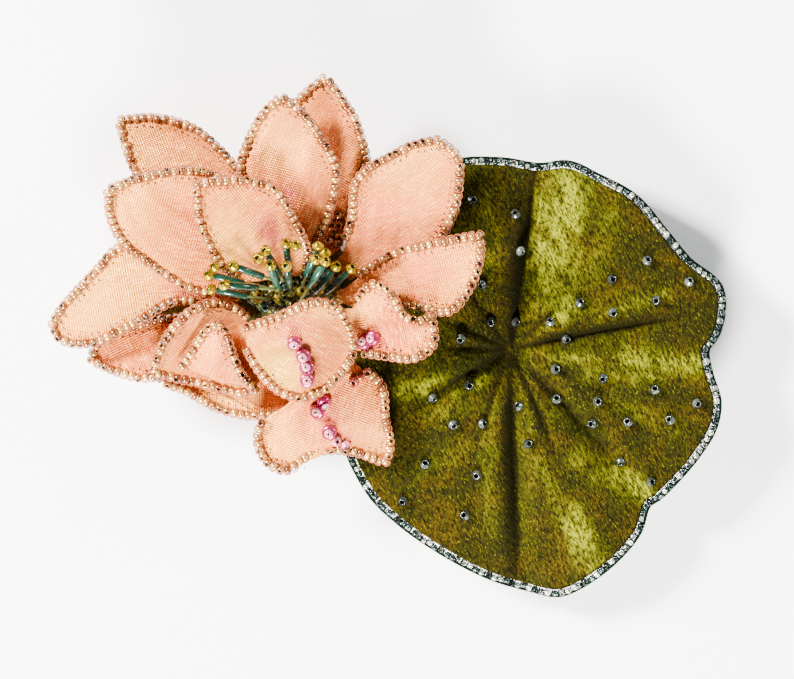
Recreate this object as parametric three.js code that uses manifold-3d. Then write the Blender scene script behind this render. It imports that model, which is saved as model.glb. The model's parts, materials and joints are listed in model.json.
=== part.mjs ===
// Water lily hair clip: a satin flower and a velvet leaf sewn on an automatic (French) barrette.
// Millimetres, +Z up, away from the head. +X runs along the barrette from its hinge to its latch.
// The origin is the middle of the clasp arm's flat underside, on which the clip rests.
import * as THREE from 'three';
import { mergeVertices } from 'three/addons/utils/BufferGeometryUtils.js';
import Module from 'manifold-3d';

const wasm = await Module();
wasm.setup();

// ---------------------------------------------------------------- driving dimensions
const CLEARANCE = 0.3; // between pieces that touch or run on each other

// barrette
const BAR_LENGTH = 80;
const BAR_WIDTH = 8;
const SHEET = 0.9; // thickness of the base and arm strip
const HAIR_GAP = 8; // from the closed arm's strip to the base
const PIN_RADIUS = 0.7;
const PIN_INSET = 2.5; // pin axis from the base's end
const KNUCKLE_WALL = 0.6;
const KNUCKLE_DROP = 0.4; // from the knuckle's lowest point to the arm's underside
const EAR_MARGIN = 0.65; // ear beyond the knuckle, on either side
const NECK_LENGTH = 3.2; // narrow stretch of the arm, from the pin axis
const ARM_END_INSET = 0.5; // the arm's tip from the base's end
const ARM_RISE = 1.8; // how far the arm's tip steps up
const ARM_STEP_LENGTH = 2.4;
const ARM_STEP_INSET = 2.6; // from the step's upper end to the wings
const WINDOW_END_WALL = 1.5; // arm between its window and its tip
const WINDOW_SIDE_WALL = 1;
const SEWING_HOLE_RADIUS = 0.8;
const SEWING_HOLE_INSET = 7; // the nearest sewing hole from either end of the base
const SEWING_HOLE_PITCH = 4;
const BOW_SIDE_INSET = 1.5; // the tension bar's side from the base's
const BOW_THICKNESS = 0.5;
const BOW_DEPTH = 2;
const BOW_RIVET_INSET = 15.5; // rivet from the pin axis
const BOW_LAP = 2.5; // tension bar beyond its rivet
const BOW_END_GAP = 1.35; // from the bar's far end to the latch rivet's head
const RIVET_RADIUS = 0.7;
const RIVET_HEAD_RADIUS = 1.35;
const RIVET_HEAD_HEIGHT = 0.7;
const RIVET_SINK = 0.1; // the rivet's closed end below the base's top
const SPRING_THICKNESS = 0.6; // latch spring and its wings
const SPRING_LENGTH = 7;
const SPRING_CORNER = 0.6;
const WING_LENGTH = 3.2; // along X, where it passes the arm's window
const WING_FOOT = 0.8; // height of the wing's lower end
const WING_RIVET_GAP = 2; // from the wings to the latch rivet's axis
const TAB_LENGTH = 8.6;
const TAB_HEIGHT = 3;
const TAB_ROUND = 1;
const BARB_LENGTH = 0.35;
const BARB_HEIGHT = 0.5;
const BARB_END_INSET = 0.4;
const BARB_SIDE_GAP = 0.15; // between a barb's tip and the side of the window

// soft base
const FELT_THICKNESS = 1;
const FELT_MARGIN = 3; // felt beyond the base plate, all round
const FLOWER_CENTRE = [-17.1, 8.9];
const FLOWER_BASE_RADIUS = 11.5;
const MOUND_LENGTH = 18; // along X
const MOUND_WIDTH = 9.2;
const MOUND_LAYERS = 4.2; // the mound's height, in layers of the flower

// petals and their beaded edging
const SATIN_THICKNESS = 0.6;
const EDGING_RADIUS = 0.8;

// leaf
const VELVET_THICKNESS = 0.8;
const LINING_THICKNESS = 0.5;
const LEAF_EDGING_RADIUS = 0.6;
const LEAF_EDGING_GAP = 0.7; // in plan, towards the gather
const LEAF_DROOP = 0.0042; // per square millimetre away from the barrette
const LEAF_GATHER = [22.5, -2.1]; // where the leaf's folds meet
const GATHER_DEPTH = 0.7;
const GATHER_RADIUS = 4;

// stamens
const BUGLE_RADIUS = 0.8;
const STAMEN_BEAD_RADIUS = 1.1;

// ---------------------------------------------------------------- heights, worked out from the sizes above
const BASE_BOTTOM = SHEET + HAIR_GAP;
const BASE_TOP = BASE_BOTTOM + SHEET;
const FELT_BOTTOM = BASE_TOP + CLEARANCE;
const FELT_TOP = FELT_BOTTOM + FELT_THICKNESS;
const LINING_LEVEL = FELT_TOP + CLEARANCE + GATHER_DEPTH + LINING_THICKNESS / 2;
const VELVET_LEVEL = LINING_LEVEL + (LINING_THICKNESS + VELVET_THICKNESS) / 2 + CLEARANCE;
const FLOWER_BASE_BOTTOM = FELT_TOP + CLEARANCE;
const FLOWER_BASE_TOP = VELVET_LEVEL + VELVET_THICKNESS / 2; // the flower lies over the leaf
const MOUND_BOTTOM = FLOWER_BASE_TOP + CLEARANCE;
const LAYER = EDGING_RADIUS + SATIN_THICKNESS / 2 + 3 * CLEARANCE; // from a petal to the next one above
const PETAL_LEVEL = FLOWER_BASE_TOP + EDGING_RADIUS; // the petals' layers are counted from here
const MOUND_TOP = MOUND_BOTTOM + MOUND_LAYERS * LAYER;

// ---------------------------------------------------------------- places along and across the barrette
const KNUCKLE_RADIUS = PIN_RADIUS + CLEARANCE + KNUCKLE_WALL;
const PIN_HEIGHT = KNUCKLE_RADIUS + KNUCKLE_DROP;
const PIN_X = -BAR_LENGTH / 2 + PIN_INSET;
const ARM_TIP_X = BAR_LENGTH / 2 - ARM_END_INSET;
const WINDOW_ROOM = 2 * CLEARANCE; // at either end of the wings
const WING_MIDDLE_X = ARM_TIP_X - WINDOW_END_WALL - WINDOW_ROOM - WING_LENGTH / 2;
const WINDOW_HALF_WIDTH = BAR_WIDTH / 2 - WINDOW_SIDE_WALL;
const WING_SPACING = 2 * (WINDOW_HALF_WIDTH - BARB_SIDE_GAP - BARB_LENGTH) - SPRING_THICKNESS; // middles
const BOW_RIVET_X = PIN_X + BOW_RIVET_INSET;
const LATCH_RIVET_X = WING_MIDDLE_X - WING_LENGTH / 2 - WING_RIVET_GAP;
const SPRING_MIDDLE_X = (WING_MIDDLE_X + WING_LENGTH / 2 + LATCH_RIVET_X - RIVET_HEAD_RADIUS) / 2;
const BOW_START_X = BOW_RIVET_X - BOW_LAP;
const BOW_LENGTH = LATCH_RIVET_X - RIVET_HEAD_RADIUS - BOW_END_GAP - BOW_START_X;
const BOW_WIDTH = BAR_WIDTH - 2 * BOW_SIDE_INSET;
const SPRING_TOP = BASE_BOTTOM - CLEARANCE;
const WING_TOP = SPRING_TOP - SPRING_THICKNESS - CLEARANCE;

// ---------------------------------------------------------------- materials
function finish(color, roughness, metalness = 0) {
  return new THREE.MeshStandardMaterial({ color, roughness, metalness });
}

// How finely round shapes are drawn.
const ROUND_SIDES = 16;
const HOLE_SIDES = 12;
const FLOWER_BASE_SIDES = 28;
const CORD_SIDES = 5;
const STAMEN_SIDES = 7;
const DOME_STEPS = 4;
const CORNER_SEGMENTS = 8;
const BOW_STEPS = 20;
const EDGE_SAMPLES = 90;
const WELD_DISTANCE = 1e-4;
const BASE_CORNER_RADIUS = BAR_WIDTH * 0.4;

const MATERIALS = {
  satin: finish(0xf0c3a6, 0.42),
  copperBeads: finish(0xd8a27c, 0.25, 0.4),
  velvet: finish(0x68640f, 0.95),
  lining: finish(0x4e4c18, 0.9),
  silverBeads: finish(0xaebfb8, 0.2, 0.5),
  felt: finish(0x5a5a22, 1),
  moss: finish(0x4c4d0b, 0.9),
  stamen: finish(0x1f5b3c, 0.2),
  nickel: finish(0xb9bbbd, 0.28, 1),
  springSteel: finish(0x9a9ca0, 0.35, 1),
};

// ---------------------------------------------------------------- helpers
const group = new THREE.Group();

function addMesh(name, geometry, material) {
  const mesh = new THREE.Mesh(geometry, material);
  mesh.name = name;
  group.add(mesh);
  return mesh;
}

// Keeps only the positions and merges the shared vertices, so that the surface is closed.
function welded(geometry) {
  const bare = geometry.clone();
  bare.deleteAttribute('normal');
  bare.deleteAttribute('uv');
  return mergeVertices(bare, WELD_DISTANCE);
}

function toManifold(geometry) {
  const closed = welded(geometry);
  return new wasm.Manifold(new wasm.Mesh({
    numProp: 3,
    vertProperties: new Float32Array(closed.attributes.position.array),
    triVerts: new Uint32Array(closed.index.array),
  }));
}

function toGeometry(manifold) {
  const mesh = manifold.getMesh();
  const geometry = new THREE.BufferGeometry();
  geometry.setAttribute('position', new THREE.BufferAttribute(new Float32Array(mesh.vertProperties), 3));
  geometry.setIndex(new THREE.BufferAttribute(new Uint32Array(mesh.triVerts), 1));
  return geometry;
}

function joined(first, ...others) {
  return toGeometry(others.reduce((whole, other) => whole.add(toManifold(other)), toManifold(first)));
}

function cut(blank, ...tools) {
  return toGeometry(tools.reduce((left, tool) => left.subtract(toManifold(tool)), toManifold(blank)));
}

// A block from its lowest and highest corners.
function block([x0, y0, z0], [x1, y1, z1]) {
  const geometry = new THREE.BoxGeometry(x1 - x0, y1 - y0, z1 - z0);
  return geometry.translate((x0 + x1) / 2, (y0 + y1) / 2, (z0 + z1) / 2);
}

// An upright round bar, and one that lies along Y.
function post(radius, [x, y], z0, z1, sides = ROUND_SIDES) {
  const geometry = new THREE.CylinderGeometry(radius, radius, z1 - z0, sides);
  return geometry.rotateX(Math.PI / 2).translate(x, y, (z0 + z1) / 2);
}

function crossBar(radius, [x, z], y0, y1, sides = ROUND_SIDES) {
  const geometry = new THREE.CylinderGeometry(radius, radius, y1 - y0, sides);
  return geometry.translate(x, (y0 + y1) / 2, z);
}

// A strip with round ends, lying flat.
function roundedStrip(length, width, cornerRadius, z0, z1, [x, y] = [0, 0]) {
  const halfLength = length / 2;
  const halfWidth = width / 2;
  const radius = Math.min(cornerRadius, halfWidth, halfLength);
  const shape = new THREE.Shape();
  shape.absarc(halfLength - radius, halfWidth - radius, radius, 0, Math.PI / 2);
  shape.absarc(radius - halfLength, halfWidth - radius, radius, Math.PI / 2, Math.PI);
  shape.absarc(radius - halfLength, radius - halfWidth, radius, Math.PI, Math.PI * 1.5);
  shape.absarc(halfLength - radius, radius - halfWidth, radius, Math.PI * 1.5, Math.PI * 2);
  const extrusion = { depth: z1 - z0, bevelEnabled: false, curveSegments: CORNER_SEGMENTS };
  const geometry = new THREE.ExtrudeGeometry(shape, extrusion);
  return geometry.translate(x, y, z0);
}

// A side profile of (x, z) points, drawn anticlockwise with Z up, given its width along Y.
function sideProfile(points, y0, y1) {
  const shape = new THREE.Shape(points.map(([x, z]) => new THREE.Vector2(x, z)));
  const geometry = new THREE.ExtrudeGeometry(shape, { depth: y1 - y0, bevelEnabled: false });
  return geometry.rotateX(Math.PI / 2).translate(0, y1, 0);
}

// A round cord of the given radius along a smooth curve through the points.
function cord(points, radius, steps, sides = CORD_SIDES) {
  const section = new THREE.Shape();
  for (let i = 0; i < sides; i += 1) {
    const turn = (i / sides) * Math.PI * 2;
    section[i ? 'lineTo' : 'moveTo'](radius * Math.cos(turn), radius * Math.sin(turn));
  }
  section.closePath();
  const extrudePath = new THREE.CatmullRomCurve3(points);
  return new THREE.ExtrudeGeometry(section, { steps, extrudePath, bevelEnabled: false });
}

// ---------------------------------------------------------------- barrette
function sewingHoles() {
  const holes = [];
  for (const side of [-1, 1]) {
    for (const step of [0, 1]) {
      const x = side * (BAR_LENGTH / 2 - SEWING_HOLE_INSET - step * SEWING_HOLE_PITCH);
      holes.push(post(SEWING_HOLE_RADIUS, [x, 0], BASE_BOTTOM - 1, BASE_TOP + 1, HOLE_SIDES));
    }
  }
  return holes;
}

function barretteBase() {
  const plate = roundedStrip(BAR_LENGTH, BAR_WIDTH, BASE_CORNER_RADIUS, BASE_BOTTOM, BASE_TOP);
  const ears = [-1, 1].map((side) => {
    const outer = side * (BAR_WIDTH / 2);
    const inner = side * (BAR_WIDTH / 2 - SHEET);
    const reach = KNUCKLE_RADIUS + EAR_MARGIN;
    const low = [PIN_X - reach, Math.min(outer, inner), PIN_HEIGHT - KNUCKLE_RADIUS];
    const high = [PIN_X + reach, Math.max(outer, inner), BASE_TOP - SHEET / 2];
    return block(low, high);
  });
  const holeRadius = PIN_RADIUS + CLEARANCE;
  const tools = [
    ...sewingHoles(),
    crossBar(holeRadius, [PIN_X, PIN_HEIGHT], -BAR_WIDTH, BAR_WIDTH),
    post(RIVET_RADIUS + CLEARANCE, [BOW_RIVET_X, 0], BASE_BOTTOM - 1, BASE_TOP + 1, HOLE_SIDES),
    post(RIVET_RADIUS + CLEARANCE, [LATCH_RIVET_X, 0], BASE_BOTTOM - 1, BASE_TOP + 1, HOLE_SIDES),
  ];
  return cut(joined(plate, ...ears), ...tools);
}

function hingePin() {
  return crossBar(PIN_RADIUS, [PIN_X, PIN_HEIGHT], -BAR_WIDTH / 2 - CLEARANCE, BAR_WIDTH / 2 + CLEARANCE);
}

function claspArm() {
  const neckHalf = BAR_WIDTH / 2 - SHEET - CLEARANCE;
  const stepEnd = WING_MIDDLE_X - WING_LENGTH / 2 - ARM_STEP_INSET;
  const stepStart = stepEnd - ARM_STEP_LENGTH;
  const strip = sideProfile([
    [PIN_X, 0],
    [stepStart, 0],
    [stepEnd, ARM_RISE],
    [ARM_TIP_X, ARM_RISE],
    [ARM_TIP_X, ARM_RISE + SHEET],
    [stepEnd - SHEET / 2, ARM_RISE + SHEET],
    [stepStart - SHEET / 2, SHEET],
    [PIN_X, SHEET],
  ], -BAR_WIDTH / 2, BAR_WIDTH / 2);
  const knuckle = crossBar(KNUCKLE_RADIUS, [PIN_X, PIN_HEIGHT], -neckHalf, neckHalf);
  const neckCuts = [-1, 1].map((side) => {
    const edge = side * BAR_WIDTH;
    const low = [PIN_X - BAR_WIDTH, Math.min(edge, side * neckHalf), -1];
    return block(low, [PIN_X + NECK_LENGTH, Math.max(edge, side * neckHalf), SHEET + 1]);
  });
  const windowReach = WING_LENGTH / 2 + WINDOW_ROOM;
  const window = block(
    [WING_MIDDLE_X - windowReach, -WINDOW_HALF_WIDTH, ARM_RISE - 1],
    [WING_MIDDLE_X + windowReach, WINDOW_HALF_WIDTH, ARM_RISE + SHEET + 1],
  );
  const pinHole = crossBar(PIN_RADIUS + CLEARANCE, [PIN_X, PIN_HEIGHT], -BAR_WIDTH, BAR_WIDTH);
  return cut(joined(cut(strip, ...neckCuts), knuckle), window, pinHole);
}

// A bowed strip under the base. It presses the hair against the closed arm.
const BOW_TOP = BASE_BOTTOM - CLEARANCE;

function bowHeight(x) {
  const along = (x - BOW_START_X) / BOW_LENGTH;
  return BOW_TOP - BOW_DEPTH * 0.5 * (1 - Math.cos(2 * Math.PI * along));
}

function tensionBar() {
  const steps = BOW_STEPS;
  const upper = [];
  const lower = [];
  for (let i = 0; i <= steps; i += 1) {
    const x = BOW_START_X + (BOW_LENGTH * i) / steps;
    upper.push([x, bowHeight(x)]);
    lower.push([x, bowHeight(x) - BOW_THICKNESS]);
  }
  const strip = sideProfile([...lower, ...upper.reverse()], -BOW_WIDTH / 2, BOW_WIDTH / 2);
  return cut(strip, post(RIVET_RADIUS + CLEARANCE, [BOW_RIVET_X, 0], BOW_TOP - BOW_DEPTH, BOW_TOP + 1, HOLE_SIDES));
}

// A rivet whose head is under the piece that it holds, and whose closed end is flush in the base.
function rivet(x, heldBottom) {
  const headTop = heldBottom - CLEARANCE;
  const shank = post(RIVET_RADIUS, [x, 0], headTop - RIVET_HEAD_HEIGHT / 2, BASE_TOP - RIVET_SINK, HOLE_SIDES);
  return joined(shank, post(RIVET_HEAD_RADIUS, [x, 0], headTop - RIVET_HEAD_HEIGHT, headTop));
}

// The flat middle of the U-shaped latch spring.
function latchSpring() {
  const width = WING_SPACING + SPRING_THICKNESS;
  const z0 = SPRING_TOP - SPRING_THICKNESS;
  const web = roundedStrip(SPRING_LENGTH, width, SPRING_CORNER, z0, SPRING_TOP, [SPRING_MIDDLE_X, 0]);
  return cut(web, post(RIVET_RADIUS + CLEARANCE, [LATCH_RIVET_X, 0], z0 - 1, SPRING_TOP + 1, HOLE_SIDES));
}

// One leg of the latch spring, with a tab for the finger and a barb at its foot. side is -1 or 1.
function latchWing(side) {
  const start = WING_MIDDLE_X - WING_LENGTH / 2;
  const end = WING_MIDDLE_X + WING_LENGTH / 2;
  const tabBottom = ARM_RISE + SHEET + 2 * CLEARANCE;
  const tabTop = tabBottom + TAB_HEIGHT;
  const middle = side * (WING_SPACING / 2);
  const y0 = middle - SPRING_THICKNESS / 2;
  const y1 = middle + SPRING_THICKNESS / 2;
  const leg = sideProfile([
    [start, WING_FOOT],
    [end, WING_FOOT],
    [end, tabBottom],
    [start + TAB_LENGTH - TAB_ROUND, tabBottom],
    [start + TAB_LENGTH, tabBottom + TAB_ROUND],
    [start + TAB_LENGTH, tabTop - TAB_ROUND],
    [start + TAB_LENGTH - TAB_ROUND, tabTop],
    [end, tabTop],
    [end, WING_TOP],
    [start, WING_TOP],
  ], y0, y1);
  const outer = side > 0 ? y1 : y0;
  const tip = outer + side * BARB_LENGTH;
  const barb = block(
    [start + BARB_END_INSET, Math.min(middle, tip), WING_FOOT],
    [end - BARB_END_INSET, Math.max(middle, tip), WING_FOOT + BARB_HEIGHT],
  );
  return joined(leg, barb);
}

// ---------------------------------------------------------------- petals
// Each petal lies between two edges that run from its base to its tip, in plan, where the beaded edging
// is sewn. base and tip are heights in layers, arch lifts the petal's middle, cup lifts its edges and
// roll lifts the right edge and lowers the left one. edging is the stretch that is beaded: 0 is the left
// edge's base, 0.5 the tip and 1 the right edge's base.
const PETALS = {
  petal_upper_left: {
    left: [[-26, 14], [-37.5, 22], [-44.3, 29.5], [-47.4, 38.6]],
    right: [[-19.5, 17.5], [-24, 26.5], [-29.6, 33.3], [-34.6, 37.3], [-41, 39]],
    base: 0.2, tip: 2, arch: 0.3, cup: 0.4, roll: 0, edging: [0.12, 0.88],
  },
  petal_left_upper: {
    left: [[-25, 8.5], [-33.2, 8.4], [-41.6, 13.2], [-46.2, 16.9], [-48.3, 21], [-48.8, 26]],
    right: [[-21.5, 15], [-26, 25.5], [-32.5, 29.2], [-41.3, 28.6]],
    base: 3, tip: 7.25, arch: 0.6, cup: -0.4, roll: 0.3, edging: [0.08, 0.9],
  },
  petal_inner_left: {
    left: [[-24, 10], [-28.6, 12.4], [-31.1, 16.6], [-33, 22], [-32.9, 27]],
    right: [[-14.8, 11.2], [-13.9, 14.6], [-16.4, 20.9], [-20.1, 26.4], [-25.5, 27.7]],
    base: 4.6, tip: 8.25, arch: 0.5, cup: -0.3, roll: 0, edging: [0.05, 0.98],
  },
  petal_back_centre: {
    left: [[-20.5, 14.8], [-24.2, 22], [-25.6, 30.2], [-24.4, 34.3], [-21.7, 39.2], [-18.4, 42.4]],
    right: [[-14, 14.8], [-10.8, 20.9], [-9.1, 26.3], [-9.1, 30.2], [-11.7, 35.4], [-15.3, 40]],
    base: 1.2, tip: 6.25, arch: 0.4, cup: -0.45, roll: 0, edging: [0.14, 0.96],
  },
  petal_back: {
    left: [[-13, 16], [-16.6, 28], [-17.1, 38], [-15.9, 41.6], [-10.8, 46.2]],
    right: [[-7.4, 16.6], [-6.8, 20.9], [-5.6, 27.3], [-3.6, 31.3], [-4.1, 34], [-5.7, 38.9], [-8.4, 43]],
    base: 0.15, tip: 2.25, arch: 0.2, cup: -0.25, roll: 0, edging: [0.22, 0.96],
  },
  petal_upper_right: {
    left: [[-8, 15.2], [-6, 20.9], [-5.3, 27.3], [-2.8, 30.2], [0.4, 31.8], [4.7, 34], [9.3, 35]],
    right: [[-3, 10.5], [6, 13.8], [11.2, 20.6], [12.8, 27], [12.5, 32]],
    base: 1.25, tip: 3.5, arch: 0.4, cup: 0.4, roll: 0, edging: [0.04, 0.82],
  },
  petal_right: {
    left: [[-7.5, 9], [-2.5, 12.8], [3, 15.4], [10.5, 17], [16.5, 18.1]],
    right: [[-5.8, 5.2], [0, 5.9], [5.5, 5.9], [11.1, 4.8], [15, 9.5], [16.6, 15]],
    base: 2.3, tip: 5, arch: 0.25, cup: 0.2, roll: 0, edging: [0.06, 0.9],
  },
  petal_lower_right: {
    left: [[-6, 5.5], [-2.2, 9.4], [0.7, 7.8], [3, 3.8], [5.5, 2.9], [8, 4.1]],
    right: [[-6, -2.2], [-0.4, -3], [5, -3.4], [8.2, -1.1]],
    base: 3.9, tip: 5, arch: 1, cup: 0.2, roll: -0.4, edging: [0.04, 0.96],
  },
  petal_front_centre: {
    left: [[-25, 1.6], [-18.9, 3.6], [-12.9, 6.1], [-8.8, 5.2], [-6, 0.4]],
    right: [[-24.6, -1.6], [-22.3, -5.7], [-18.7, -9.3], [-14.5, -10.4], [-10.9, -8.9], [-8.8, -7], [-6.2, -3.2]],
    base: 5.6, tip: 5.7, arch: 0.8, cup: 0, roll: -0.8, edging: [0, 1],
  },
  petal_front_hanging: {
    left: [[-15, -7], [-17.9, -12], [-21.6, -14.6], [-22.7, -18.6], [-20.4, -22.6], [-17.3, -23.4],
      [-13.9, -20.9], [-10.7, -19.9], [-5.2, -20.3], [-0.2, -22.2]],
    right: [[-4, -5.4], [-0.8, -8.8], [-0.3, -14.1], [0.6, -19.1]],
    base: 2.4, tip: 0.2, arch: 0.4, cup: 0, roll: 0, edging: [0.19, 0.96],
  },
  petal_left: {
    left: [[-28.5, 12.5], [-38, 15], [-47, 16], [-51.3, 11.8], [-56.7, 6], [-59.1, 2.7]],
    right: [[-28.5, 5.6], [-37.4, 6.6], [-44.5, 2.9], [-52.3, -0.8], [-57.5, -0.2]],
    base: 2, tip: 3.4, arch: 0.7, cup: -0.2, roll: 0, edging: [0.1, 0.92],
  },
  petal_lower_left: {
    left: [[-29, 3.4], [-41, 3], [-51.4, -1.2], [-52.3, -4]],
    right: [[-29, -2], [-34.5, -4.6], [-42, -7], [-47.1, -6.2]],
    base: 1, tip: 1.1, arch: 0.2, cup: 0, roll: 0, edging: [0.1, 0.92],
  },
  petal_front_left: {
    left: [[-24, 2.6], [-26.3, 4.8], [-29.8, 6.2], [-34.6, 4.6], [-38.7, 0], [-41.4, -6]],
    right: [[-22.4, -8.8], [-26, -9.6], [-31, -8.3], [-36.5, -7.2]],
    base: 2.7, tip: 2.45, arch: 0.4, cup: 0, roll: -1.4, edging: [0.02, 0.98],
  },
  petal_front_left_inner: {
    left: [[-36.4, -5.4], [-33.4, -1.2], [-31.4, 1.5], [-29.8, 2.6]],
    right: [[-22.6, -9.6], [-25.6, -6.6], [-27.5, -2], [-28.6, 1.4]],
    base: 3.4, tip: 5.7, arch: 0.2, cup: -0.25, roll: 0.15, edging: [0, 1],
  },
  petal_front_under: {
    left: [[-33, -3.6], [-40, -7.2], [-35.2, -9.6], [-30, -12.4], [-25, -13.8]],
    right: [[-14.4, -6], [-15, -10.8], [-18.6, -13.2]],
    base: 0.1, tip: 0.1, arch: 0, cup: 0, roll: 0, edging: [0.1, 0.9],
  },
};

const PETAL_ROWS = 8;
const PETAL_COLUMNS = 4;
const EDGING_STEPS = 24;
const BLUNT_TIP = 0.6; // width of the satin at a petal's tip

function planCurve(points) {
  return new THREE.CatmullRomCurve3(points.map(([x, y]) => new THREE.Vector3(x, y, 0)), false, 'centripetal');
}

function petalEdges({ left, right }) {
  const tip = left[left.length - 1];
  return { left: planCurve(left), right: planCurve([...right, tip]) };
}

// Height of a petal: across runs 0 to 1 from the left edge to the right one, along from base to tip.
function petalHeight(petal, across, along) {
  const swell = Math.sin(Math.PI * Math.min(Math.max(along, 0), 1));
  const side = 2 * across - 1;
  const spine = petal.base + (petal.tip - petal.base) * along + petal.arch * swell;
  return PETAL_LEVEL + LAYER * (spine + swell * (petal.cup * side * side + petal.roll * side));
}

// Points along the whole line of the edging, in plan.
function edgingLine(edges) {
  const count = EDGE_SAMPLES;
  return [...edges.left.getSpacedPoints(count), ...edges.right.getSpacedPoints(count)];
}

// How far along a row the satin has to stay back from its start, so that it clears the edging.
function clearShare(line, start, end) {
  const point = new THREE.Vector3();
  const room = EDGING_RADIUS + CLEARANCE;
  for (let share = 0; share < 0.5; share += 0.004) {
    point.lerpVectors(start, end, share);
    if (line.every((other) => other.distanceToSquared(point) > room * room)) {
      return share;
    }
  }
  return 0.5;
}

function petalRow(edges, line, along) {
  const start = edges.left.getPointAt(along);
  const end = edges.right.getPointAt(along);
  const from = clearShare(line, start, end);
  const to = 1 - clearShare(line, end, start);
  return { start, end, from, to, satinWidth: (to - from) * start.distanceTo(end) };
}

function lastRow(edges, line) {
  let along = 0.99;
  while (along > 0.5 && petalRow(edges, line, along).satinWidth < BLUNT_TIP) {
    along -= 0.005;
  }
  return along;
}

function petalSolid(petal) {
  const edges = petalEdges(petal);
  const line = edgingLine(edges);
  const reach = lastRow(edges, line);
  const rows = [];
  for (let i = 0; i <= PETAL_ROWS; i += 1) {
    rows.push(petalRow(edges, line, (reach * i) / PETAL_ROWS));
  }
  const geometry = new THREE.BoxGeometry(1, 1, SATIN_THICKNESS, PETAL_COLUMNS, PETAL_ROWS, 1);
  const position = geometry.attributes.position;
  const point = new THREE.Vector3();
  for (let i = 0; i < position.count; i += 1) {
    const share = position.getY(i) + 0.5;
    const along = share * reach;
    const row = rows[Math.round(share * PETAL_ROWS)];
    const across = row.from + (position.getX(i) + 0.5) * (row.to - row.from);
    point.lerpVectors(row.start, row.end, across);
    position.setXYZ(i, point.x, point.y, petalHeight(petal, across, along) + position.getZ(i));
  }
  return welded(facingOut(geometry));
}

// Turns the faces round where the shaping has mirrored the solid.
function facingOut(geometry) {
  const { position } = geometry.attributes;
  const index = geometry.index.array;
  const a = new THREE.Vector3();
  const b = new THREE.Vector3();
  const c = new THREE.Vector3();
  let volume = 0;
  for (let i = 0; i < index.length; i += 3) {
    a.fromBufferAttribute(position, index[i]);
    b.fromBufferAttribute(position, index[i + 1]);
    c.fromBufferAttribute(position, index[i + 2]);
    volume += a.dot(b.cross(c));
  }
  if (volume < 0) {
    for (let i = 0; i < index.length; i += 3) {
      [index[i], index[i + 1]] = [index[i + 1], index[i]];
    }
  }
  return geometry;
}

// A point on the line of the edging: 0 is the left edge's base, 0.5 the tip, 1 the right edge's base.
function edgingPoint(petal, edges, place) {
  const onLeft = place <= 0.5;
  const along = onLeft ? place * 2 : (1 - place) * 2;
  const point = (onLeft ? edges.left : edges.right).getPointAt(along);
  point.z = petalHeight(petal, onLeft ? 0 : 1, along);
  return point;
}

function petalEdging(petal) {
  const edges = petalEdges(petal);
  const [from, to] = petal.edging;
  const points = [];
  const count = EDGING_STEPS * 2;
  for (let i = 0; i <= count; i += 1) {
    points.push(edgingPoint(petal, edges, from + ((to - from) * i) / count));
  }
  return cord(points, EDGING_RADIUS, EDGING_STEPS);
}

// ---------------------------------------------------------------- leaf
// The line of the leaf's edging in plan, anticlockwise. The side under the flower is cut back.
const LEAF_OUTLINE = [
  [60, 5], [59.4, 9.2], [53.9, 13.8], [49.6, 19], [44.4, 25], [38, 28.6], [32.7, 31], [27.4, 30.6],
  [20.4, 31.6], [12.4, 31.2], [4, 27], [-3, 18], [-5.2, 11.5], [-6, 5], [-6, -8], [-7.2, -17.6],
  [-2.7, -27.6],
  [2.6, -32.9], [9.8, -38], [18.6, -42.6], [25.7, -44.8], [31, -45.8], [34.6, -44.4], [40.6, -40],
  [45, -34.8], [46.8, -29.8], [48.7, -28.4], [53, -24], [55.8, -20.5], [58.4, -16.2], [59.2, -11.4],
  [57.7, -6.4], [57.1, -2.1], [58.9, 0.6],
];

// The edging is open between these shares of the outline, where the leaf is hidden under the flower.
const HIDDEN_FROM = 0.335;
const HIDDEN_TO = 0.43;

// Folds that run out from the gather: direction in degrees, depth (down is positive) and half width.
const LEAF_FOLDS = [
  { direction: 81, depth: 1.3, width: 2 },
  { direction: 58, depth: -1, width: 6 },
  { direction: 9, depth: 1.1, width: 2 },
  { direction: -12, depth: -0.9, width: 6 },
  { direction: -49, depth: 1.4, width: 2.6 },
  { direction: -68, depth: -1.1, width: 6 },
  { direction: -87, depth: 1.4, width: 2.4 },
  { direction: -171, depth: -0.8, width: 4 },
  { direction: 120, depth: 0.8, width: 3 },
];

const OPEN_RADIUS = 10; // from the gather to where the folds are open
const FELT_EASE = 8; // across the bar, from the felt's edge to where the hollow folds reach their depth
const FLOWER_EASE = 3; // flat leaf round the flower's base, before its raised folds begin
const LEAF_RINGS = 6;
const LEAF_SECTORS = 44;
const LEAF_EDGING_STEPS = 72;

function planDistance([x, y], [centreX, centreY]) {
  return Math.hypot(x - centreX, y - centreY);
}

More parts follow.
